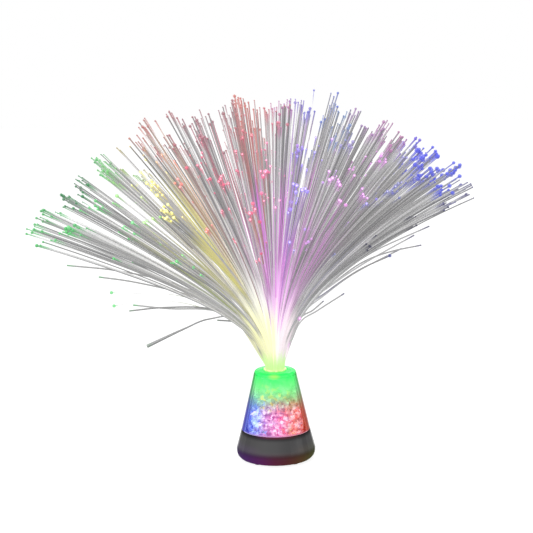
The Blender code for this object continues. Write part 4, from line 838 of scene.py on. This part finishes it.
def strandPoints(tree, given):
    index = fieldOf(tree, "Index")
    strand = wholeShare(index, given["pathPoints"])
    step = remainderOf(index, strand, given["pathPoints"])
    lead = wholeShare(strand, given["perLead"])
    mate = remainderOf(strand, lead, given["perLead"])
    isMate = mate > 0.5
    foot = leadFoot(given, lead)
    tuft, wayX, wayY = wayOf(tree, given, lead, strand, isMate, foot)

    side = given["sideLean"] - given["leanSkew"] * wayX
    leaning = vectorOf(side * wayX, given["frontLean"] * wayY, 0.0)
    lean = calc("LENGTH", leaning)
    out = calc("NORMALIZE", leaning)
    bend = given["bend"] + given["bendSkew"] * wayX
    upright = bend / given["fibreLength"] * given["bendDelay"]
    meanLean = lean * (1.0 - upright)
    outX, outY = partsOf(out * calc("SINE", meanLean))[:2]
    rise = calc("COSINE", meanLean) + outY * given["forwardDrop"]
    fan = calc("ARCTAN2", outX, rise) / given["fullFan"]
    length, cut = lengthOf(given, tuft, lead, strand, isMate, fan, wayX, wayY)

    # One step of the fibre: the straight stub first, then free runs that lean ever further
    runs = given["pathPoints"] - 2.0
    free = step - 1.0
    isFree = free > -0.5
    halfway = (free + 0.5) / runs * isFree
    walked = halfway * length
    leant = 1.0 - calc("EXPONENT", (walked / bend) ** given["bendPower"] * -1.0)
    sag = given["droop"] * calc("SINE", lean) * (walked / given["fibreLength"]) ** 2.0
    angle = lean * leant + sag
    heading = out * calc("SINE", angle) + vectorOf(0.0, 0.0, calc("COSINE", angle))
    curl = randomOf((-1.0, -1.0, -1.0), (1.0, 1.0, 1.0), strand, 27) * given["curl"]
    heading = calc("NORMALIZE", heading + curl * (isMate * halfway))
    stub = given["stubHigh"] - given["stubLow"]
    stride = isFree * (length / runs) + (1.0 - isFree) * stub

    count = triangleOf(given["rowCount"]) * given["sliceCount"] * given["perLead"] * given["pathPoints"]
    apart = onRing(given["mateApart"], mate * (2 * math.pi / given["perLead"]) + lead)
    ground = foot + apart + vectorOf(0.0, 0.0, given["stubLow"])
    points = geometryStep(tree, "Points", None, {"Count": count, "Position": ground})
    stored = {
        "fan": fan,
        "along": larger(free / runs, 0.0),
        "tint": randomOf(0.0, 1.0, strand, 31),
        "lit": randomOf(0.0, 1.0, tuft, 32),
        "bead": randomOf(0.0, 1.0, strand, 33),
        "inner": larger(eased(cut, 0.02, 0.06), eased(wayY, -0.35, -0.75)),
    }
    for name, value in stored.items():
        points = storeValue(points, name, value)
    steps = {0: heading * stride, 1: strand}
    walk = outputOf(tree, "GeometryNodeAccumulateField", steps, "Trailing", data_type="FLOAT_VECTOR")
    points = geometryStep(tree, "SetPosition", points, {"Offset": walk})
    return points, strand, step


def growSpray(finish):
    tree, given = startTree("fibreSpray", spraySettings)
    points, strand, step = strandPoints(tree, given)
    curves = geometryStep(tree, "PointsToCurves", points, {"Curve Group ID": strand, "Weight": step})
    inputs = {"Resolution": given["fibreSides"], "Radius": given["fibreRadius"]}
    ring = geometryStep(tree, "CurvePrimitiveCircle", None, inputs)
    along = named(tree, "along")
    girth = eased(along, *thickSettings["foot"], given["neckShare"], 1.0)
    girth = girth * between(named(tree, "bead"), *thickSettings["byFibre"])
    girth = girth * eased(along, *thickSettings["towardsTip"])
    inThickFan = windowed(named(tree, "fan"), *thickSettings["thickFan"])
    girth = girth * between(inThickFan, *thickSettings["inThickFan"])
    inputs = {"Profile Curve": ring, "Scale": girth, "Fill Caps": True}
    endTree(geometryStep(tree, "CurveToMesh", curves, inputs), finish)
    return grownPiece("fibreStrands", tree, spraySettings)


def growTips(name, share, finish):
    sizes = {**spraySettings, **tipSettings}
    tree, given = startTree(name, sizes)
    points = strandPoints(tree, given)[0]
    points = geometryStep(tree, "DeleteGeometry", points, {"Selection": named(tree, "along") < 0.999})
    ball = geometryStep(tree, "MeshUVSphere", None, {"Segments": 8, "Rings": 5, "Radius": 1.0})
    fan, inner = named(tree, "fan"), named(tree, "inner")
    blueBunch = windowed(fan, *thickSettings["blueFan"])
    fullEdge = larger(blueBunch, eased(fan, *thickSettings["leftFan"]))
    power = between(inner, between(fullEdge, *thickSettings["outerPower"]), thickSettings["innerPower"])
    fullness = named(tree, "bead") ** power
    size = (fullness * (given["largest"] - given["smallest"]) + given["smallest"]) * share
    size = size * between(blueBunch * (1.0 - inner), *thickSettings["blueBeads"])
    size = size * between(eased(fan, *thickSettings["darkFan"]) * inner, *thickSettings["darkBeads"])
    inputs = {"Instance": ball, "Scale": vectorOf(size, size, size)}
    beads = geometryStep(tree, "InstanceOnPoints", points, inputs)
    endTree(geometryStep(tree, "SetShadeSmooth", beads, {"Shade Smooth": True}), finish)
    return grownPiece(name, tree, sizes)


def fanShare(tree, byTuft, byFibre):
    fan = attributeOf(tree, "fan")
    for name, wander in (("lit", byTuft), ("tint", byFibre)):
        if wander:
            fan = fan + (attributeOf(tree, name) - 0.5) * wander
    return fan * 0.5 + 0.5


def tipColour(tree):
    share = fanShare(tree, 0.05, 0.03)
    return blended(attributeOf(tree, "inner"), rampOf(share, outerTipStops), rampOf(share, innerTipStops))


fibreGreyStops = [
    (0.00, 0.22, 0.22, 0.23), (0.22, 0.36, 0.36, 0.36), (0.50, 0.51, 0.51, 0.51), (0.75, 0.69, 0.69, 0.69),
    (0.92, 0.93, 0.93, 0.93),
]

# The light in the fibres near their foot, and a little further along
nearTintStops = [
    (0.04, 0.50, 0.49, 0.34), (0.14, 0.84, 0.83, 0.48), (0.28, 0.96, 0.95, 0.58), (0.41, 0.99, 0.98, 0.56),
    (0.48, 1.00, 0.99, 0.66), (0.54, 1.00, 0.97, 0.84), (0.64, 1.00, 0.87, 0.94), (0.86, 0.80, 0.68, 0.76),
]

farTintStops = [
    (0.04, 0.42, 0.42, 0.34), (0.20, 0.62, 0.62, 0.40), (0.31, 0.88, 0.88, 0.80), (0.40, 0.93, 0.92, 0.93),
    (0.44, 0.93, 0.78, 0.95), (0.49, 0.87, 0.48, 0.92), (0.62, 0.80, 0.42, 0.86), (0.70, 0.70, 0.44, 0.70),
    (0.76, 0.58, 0.46, 0.56), (0.86, 0.46, 0.43, 0.42),
]

# How far along the fibres the light at the neck reaches, across the fan
neckReachLevels = [
    (0.040, 0.13), (0.150, 0.27), (0.290, 0.46), (0.375, 0.54), (0.455, 0.48), (0.500, 0.52),
    (0.560, 0.54), (0.615, 0.50), (0.690, 0.42), (0.790, 0.26), (0.850, 0.20),
]


def fibreFinish():
    finish, tree, shader = newFinish("lightFibre", (0.4, 0.4, 0.4), 0.3)
    along, tint, lit, fan = (attributeOf(tree, name) for name in ("along", "tint", "lit", "fan"))
    body = rampOf(tint, fibreGreyStops)
    # Painted shade darkens the fibres on the left side and in the dense middle of the spray, and painted
    # light makes them lighter a little way above the neck. They also grow darker towards the tips.
    sides = eased(fan, -0.45, -0.85, 0.0, 0.35) * eased(along, 0.3, 0.6, 1.0, 0.2)
    mass = windowed(fan, 0.28, 0.60, 0.10) * windowed(along, 0.30, 0.96, 0.10)
    body = blended(larger(sides, mass * 0.5), body, (0.30, 0.29, 0.29))
    body = blended(windowed(along, 0.10, 0.46, 0.10) * 0.32, body, (0.85, 0.85, 0.85))
    body = blended(eased(along, 0.5, 0.85, 0.0, 0.16), body, (0.25, 0.25, 0.25))
    mixed = lit * 0.15 + attributeOf(tree, "bead") * 0.85
    coloured = 0.0
    for fanBand, alongBand, lightShare, colour in streakSettings:
        inside = windowed(fan, *fanBand, 0.05) * windowed(along, *alongBand, 0.10)
        middle = 0.93 - 0.86 * lightShare  # above it lies this share of the fibres
        inside = inside * eased(mixed, middle - 0.05, middle + 0.05, 0.0, 0.85)
        body = blended(inside, body, colour)
        coloured = larger(inside, coloured)
    tipShare = eased(along, 0.945, 0.99) * eased(tint, 0.05, 0.55, 0.15, 0.75)
    body = blended(tipShare, body, tipColour(tree))

    reach = greyRampOf(fanShare(tree, 0.0, 0.06), neckReachLevels)
    neck = eased(along, reach * 0.55, reach * 1.12, 1.0, 0.0)
    share = fanShare(tree, 0.0, 0.05)
    neckTint = blended(eased(along, 0.17, 0.34), rampOf(share, nearTintStops), rampOf(share, farTintStops))
    neckTint = blended(eased(along, 0.01, 0.09, 1.0, 0.0), neckTint, (0.55, 0.92, 0.28))
    # Painted light: every fibre glows at no less than 0.38 of its own colour, besides the light at the neck
    # and in the coloured streaks
    feed(shader, {
        "Base Color": blended(neck * 0.8, body, (0.22, 0.22, 0.17)),
        "Emission Color": blended(neck, body, neckTint),
        "Emission Strength": larger(neck * 0.86, larger(coloured * 0.5, 0.38)),
        "Specular IOR Level": 0.35,
    })
    return finish


def tipFinish():
    finish, tree, shader = newFinish("glowingTip", (0.9, 0.9, 0.9), 0.2)
    aglow(shader, tipColour(tree), between(attributeOf(tree, "inner"), 0.3, 0.5), Alpha=0.55)
    return finish


def tipCoreFinish():
    finish, tree, shader = newFinish("tipCore", (0.9, 0.9, 0.9), 0.2)
    tip, fan = tipColour(tree), attributeOf(tree, "fan")
    isPale = attributeOf(tree, "inner") * eased(attributeOf(tree, "tint"), 0.2, 0.4)
    isPale = isPale * eased(fan, -0.75, -0.45, 0.3, 1.0) * eased(fan, 0.47, 0.52, 1.0, 0.0)
    hot = blended(isPale * 0.85, tip, (1.0, 0.97, 0.97))
    feed(shader, {"Base Color": tip, "Emission Color": hot, "Emission Strength": between(isPale, 0.4, 1.5)})
    return finish


# Single fibres that leave the spray, each with its marks, its depth and the (x, z) places of its way in mm
strayMarks = ("fan", "tint", "lit", "bead", "inner", "along")


def stray(fan, tint, lit, bead, inner, depth, *way, swell=0.0):
    marks = {"fan": fan, "tint": tint, "lit": lit, "bead": bead, "inner": inner}
    return {"marks": marks, "depth": depth, "way": way, "swell": swell}


straySettings = {
    "radius": 0.74 * mm,
    "paleRadius": 0.28 * mm,
    "beadRadius": 1.6 * mm,
    "footSide": 6.5,
    "stepsPerSpan": 6,
    "sides": 5,
    "swellFrom": 0.7,  # of a fibre's way
    "swellOver": 0.3,
    "paleTint": 0.9,
    "outerBead": 0.6,
    "fibres": [
        stray(-0.90, 0.15, 0.4, 0.2, 0.0, -12, (-22, 124), (-58, 138), (-96, 140), (-127, 138)),
        stray(-0.88, 0.45, 0.4, 0.2, 0.0, -6, (-22, 124), (-56, 136), (-92, 138), (-124, 142)),
        stray(-0.95, 0.10, 0.2, 0.1, 0.0, -16, (-27, 127), (-57, 129), (-80, 121), (-112, 107), swell=1.3),
        stray(-0.90, 0.12, 0.4, 0.1, 0.0, -14, (-26, 124), (-38, 127), (-50, 129)),
        stray(-0.80, 0.35, 0.5, 0.3, 0.0, 8, (-39, 131), (-78, 149), (-122, 160), (-155, 165)),
        stray(-0.82, 0.30, 0.5, 0.3, 0.0, -5, (-35, 128), (-83, 158), (-135, 172), (-181, 178)),
        stray(-0.80, 1.00, 0.5, 0.9, 1.0, 6, (-34, 127), (-80, 147), (-116, 150), (-144, 151)),
        stray(-0.78, 1.00, 0.5, 0.9, 1.0, -4, (-30, 122), (-74, 141), (-112, 145), (-141, 141)),
        stray(0.76, 0.40, 0.5, 0.2, 0.0, -8, (23, 134), (49, 156), (76, 176), (101, 186), (129, 192)),
        stray(0.56, 0.30, 0.5, 0.8, 1.0, -14, (22, 130), (47, 152), (74, 171), (101, 184)),
        stray(0.76, 0.56, 0.5, 0.1, 0.0, -6, (22, 127), (46, 149), (72, 168), (112, 189)),
        stray(0.76, 0.66, 0.5, 0.1, 0.0, 4, (23, 133), (50, 155), (82, 176), (124, 199)),
        stray(0.76, 0.60, 0.5, 0.1, 0.0, 10, (24, 136), (52, 160), (88, 184), (138, 206)),
        stray(0.76, 0.40, 0.5, 0.1, 0.0, -15, (20, 124), (34, 136), (43, 145)),
        stray(0.76, 0.50, 0.5, 0.2, 0.0, -18, (21, 122), (38, 136), (61, 152)),
        stray(0.30, 0.60, 0.5, 0.5, 1.0, -16, (13, 106), (16, 112), (22, 130)),
        stray(0.11, 1.00, 0.5, 0.3, 0.0, -20, (14, 150), (26, 240), (36, 328)),
    ],
}


def smoothRun(knots, steps):
    ends = [2 * knots[0] - knots[1], *knots, 2 * knots[-1] - knots[-2]]
    run = []
    for a, b, c, d in zip(ends, ends[1:], ends[2:], ends[3:]):
        for step in range(steps):
            t = step / steps
            squared, cubed = (2 * a - 5 * b + 4 * c - d) * t ** 2, (3 * b - a - 3 * c + d) * t ** 3
            run.append(0.5 * (2 * b + (c - a) * t + squared + cubed))
    return run + [knots[-1]]


def strayRun(settings, fibre):
    way = fibre["way"]
    knots = [Vector((math.copysign(settings["footSide"], way[0][0]), 0.0, spraySettings["stubHigh"] / mm))]
    for at, (x, z) in enumerate(way, start=1):
        knots.append(Vector((x, fibre["depth"] * at / len(way), z)))
    return [point * mm for point in smoothRun(knots, settings["stepsPerSpan"])]


def startStrays():
    shape = bmesh.new()
    for name in strayMarks:
        shape.verts.layers.float.new(name)
    return shape


def mark(shape, verts, marks, along):
    for name, value in {**marks, "along": along}.items():
        layer = shape.verts.layers.float[name]
        for vert in verts:
            vert[layer] = value


def growStrays(settings, finish):
    shape = startStrays()
    arms = [Vector((math.cos(turn), math.sin(turn), 0.0)) for turn in turnsOf(settings["sides"])]
    for fibre in settings["fibres"]:
        run, rings = strayRun(settings, fibre), []
        last = len(run) - 1
        marks = fibre["marks"]
        radius = settings["paleRadius" if marks["tint"] > settings["paleTint"] else "radius"]
        for at, point in enumerate(run):
            swollen = max(0.0, at / last - settings["swellFrom"]) / settings["swellOver"]
            swell = 1 + fibre["swell"] * swollen
            heading = (run[min(at + 1, last)] - run[max(at - 1, 0)]).to_track_quat("Z", "Y")
            rings.append([shape.verts.new(point + heading @ (arm * radius * swell)) for arm in arms])
            mark(shape, rings[-1], marks, at / last)
        for first, second in zip(rings, rings[1:]):
            for side in range(len(first)):
                after = (side + 1) % len(first)
                shape.faces.new((first[side], first[after], second[after], second[side]))
        shape.faces.new(rings[0][::-1])
        shape.faces.new(rings[-1])
    return meshPiece("strayFibres", shape, finish)


def growStrayTips(name, share, settings, finish):
    shape = startStrays()
    for fibre in settings["fibres"]:
        marks = fibre["marks"]
        if marks["tint"] < settings["paleTint"] and not marks["inner"]:
            continue  # a dull fibre ends plainly
        radius = settings["beadRadius"] * share * (1.0 if marks["inner"] else settings["outerBead"])
        place = Matrix.Translation(strayRun(settings, fibre)[-1])
        made = bmesh.ops.create_icosphere(shape, subdivisions=2, radius=radius, matrix=place)
        mark(shape, made["verts"], marks, 1.0)
    return meshPiece(name, shape, finish, sharpDegrees=80)


# Collar and tube

def ferruleOutline():
    inner, outer = ferruleHigh.x - 1.6 * mm, ferruleHigh.x - 1.0 * mm
    flange = ferruleHigh.x
    step = coneTop + 0.3 * mm
    outline = [(inner, ferruleLow.z), (outer, ferruleLow.z), (outer, step), (flange, step)]
    outline += arcPoints((flange - 0.35 * mm, ferruleHigh.z - 0.35 * mm), (0.35 * mm, 0.35 * mm), 0, 90, 5)
    outline += [(inner + 0.2 * mm, ferruleHigh.z), (inner, ferruleHigh.z - 0.2 * mm)]
    return outline


def collarFinish():
    finish, tree, shader = newFinish("glowingCollar", (0.6, 0.95, 0.4), 0.2)
    streaks = noiseOf(objectPlace(tree), 260.0)
    colour = blended(eased(streaks, 0.35, 0.65), (0.45, 0.92, 0.25), (0.72, 0.96, 0.42))
    aglow(shader, colour, 0.5, Alpha=0.9)
    feed(shader, {"Specular IOR Level": 0.2})
    return finish


def tubeFinish():
    finish, tree, shader = newFinish("lightTubePlastic", (0.6, 0.95, 0.6), 0.15)
    pale = blended(0.35, lampColour(objectPlace(tree))[0], (0.95, 1.0, 0.75))
    aglow(shader, pale, 0.55, Alpha=0.8)
    return finish


# Finishes of the pieces that stay as the frame gives them

def grainy(shader, grain, colour, darkest, span, roughness, roughSpan):
    darker = tuple(channel * darkest for channel in colour)
    rougher = [roughness * factor for factor in roughSpan]
    feed(shader, {
        "Base Color": blended(eased(grain, *span), darker, colour),
        "Roughness": eased(grain, 0.3, 0.7, *rougher),
    })


def plainPlastic(name, colour, roughness, grainScale=700.0):
    finish, tree, shader = newFinish(name, colour, roughness)
    grain = noiseOf(objectPlace(tree), grainScale, 3.0)
    grainy(shader, grain, colour, 0.86, (0.3, 0.7), roughness, (0.85, 1.1))
    bumped(shader, grain, 0.12)
    return finish


def plainMetal(name, colour, roughness):
    finish, tree, shader = newFinish(name, colour, roughness, 1.0)
    grain = noiseOf(objectPlace(tree), 1600.0, 4.0)
    grainy(shader, grain, colour, 0.7, (0.25, 0.6), roughness, (0.7, 1.3))
    bumped(shader, grain, 0.1, 0.03 * mm)
    return finish


def nodesNamed(*starts):
    return [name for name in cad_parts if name.startswith(starts)]


def giveFinish(finish, *starts):
    for name in nodesNamed(*starts):
        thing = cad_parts[name]
        if not thing.material_slots:
            thing.data.materials.append(finish)
        for place in thing.material_slots:
            place.material = finish


# Each plain finish with its colour and roughness, and how the names of its pieces start
innerFinishes = [
    (plainMetal, "nickelContact", (0.76, 0.73, 0.66), 0.25, "contact_"),
    (plainMetal, "cellJacket", (0.16, 0.34, 0.50), 0.35, "battery_cell_"),
    (plainPlastic, "trayGrey", (0.25, 0.25, 0.26), 0.5, "battery_tray"),
    (plainPlastic, "deckWhite", (0.85, 0.85, 0.83), 0.4, "led_deck"),
    (plainPlastic, "switchIvory", (0.80, 0.78, 0.70), 0.45, "switch_knob"),
    (plainPlastic, "boardGreen", (0.03, 0.28, 0.10), 0.45, "circuit_board"),
    (plainPlastic, "partBlack", (0.02, 0.02, 0.022), 0.5, "switch_body", "controller_chip"),
    (plainPlastic, "wireRed", (0.60, 0.03, 0.03), 0.5, "wire_positive"),
    (plainPlastic, "wireBlack", (0.02, 0.02, 0.02), 0.5, "wire_negative"),
    (plainPlastic, "wireYellow", (0.75, 0.55, 0.05), 0.5, "wire_switched"),
    (plainPlastic, "lampLens", (0.95, 0.97, 1.0), 0.1, "centre_led", "side_led_"),
]


def dressInside(black):
    steel = plainMetal("zincPlatedSteel", (0.70, 0.70, 0.72), 0.3)
    giveFinish(steel, "switch_frame", "door_screw", "switch_screw_", "board_screw_", "case_screw_")
    for kind, name, colour, roughness, *starts in innerFinishes:
        giveFinish(kind(name, colour, roughness), *starts)
    giveFinish(plainPlastic("footRubber", (0.04, 0.04, 0.04), 0.8, 1500.0), "foot_")
    giveFinish(black, "battery_door", "base_housing")


def seenDirectly(tree):
    rays = tree.nodes.new("ShaderNodeLightPath").outputs
    camera, glossy, through = (Value(rays[f"Is {kind} Ray"]) for kind in ("Camera", "Glossy", "Transmission"))
    return larger(larger(camera, glossy), through)


def addStage(settings):
    shape = bmesh.new()
    half = settings["floorSize"] / 2
    corners = ((-half, -half), (half, -half), (half, half), (-half, half))
    shape.faces.new([shape.verts.new((x, y, 0.0)) for x, y in corners])
    finish, tree, shader = newFinish("stagePaper", settings["floorWhite"], 0.9)
    feed(shader, {"Specular IOR Level": 0.0})
    floor = meshPiece("stageFloor", shape, finish)
    inputs = {"Color": (1.0, 1.0, 1.0, 1.0), "Strength": seenDirectly(tree) * settings["floorGlow"]}
    light = outputOf(tree, "ShaderNodeEmission", inputs)
    both = outputOf(tree, "ShaderNodeAddShader", {0: Value(shader.outputs[0]), 1: light})
    feed(tree.nodes["Material Output"], {"Surface": both})

    world = bpy.data.worlds.new("stageWorld")
    world.use_nodes = True
    bpy.context.scene.world = world
    sky = world.node_tree
    strength = seenDirectly(sky) * (1.0 - settings["worldStrength"]) + settings["worldStrength"]
    feed(sky.nodes["Background"], {"Color": (*settings["worldWhite"], 1.0), "Strength": strength})


def ridePiece(piece, body, slotName, *nodes):
    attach(piece, body)
    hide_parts(*nodes)


bpy.context.scene.view_settings.view_transform = "Standard"
addCamera(cameraSettings)
for lamp in lampSettings:
    addLamp(lamp)
addStage(stageSettings)
print("camera, lamps and stage are set")

black = glossBlack()
dressInside(black)
print("inner pieces are finished")

cone = turnedPiece("clearCone", coneOutline(), coneFinish())
ridePiece(cone, "base", "clear_plastic", "cone_shell")
giveFinish(tubeFinish(), "light_tube")
collar = turnedPiece("sprayCollar", ferruleOutline(), collarFinish())
ridePiece(collar, "spray", "clear_plastic", "ferrule")
print("cone, tube and collar are turned")

ice = growIce(iceFinish())
ridePiece(ice, "base", "ice_crystal", *nodesNamed("crystal_"))

strandFinish = fibreFinish()
strands = growSpray(strandFinish)
ridePiece(strands, "spray", "fibre", *nodesNamed("fibre_bundle_"))
beadFinish, coreFinish = tipFinish(), tipCoreFinish()
sprayPieces = [growStrays(straySettings, strandFinish)]
for label, share, finish in (("Beads", 1.0, beadFinish), ("Cores", tipSettings["coreShare"], coreFinish)):
    sprayPieces.append(growTips("tip" + label, share, finish))
    sprayPieces.append(growStrayTips("stray" + label, share, straySettings, finish))
for piece in sprayPieces:
    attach(piece, "spray")
print("spray is grown")
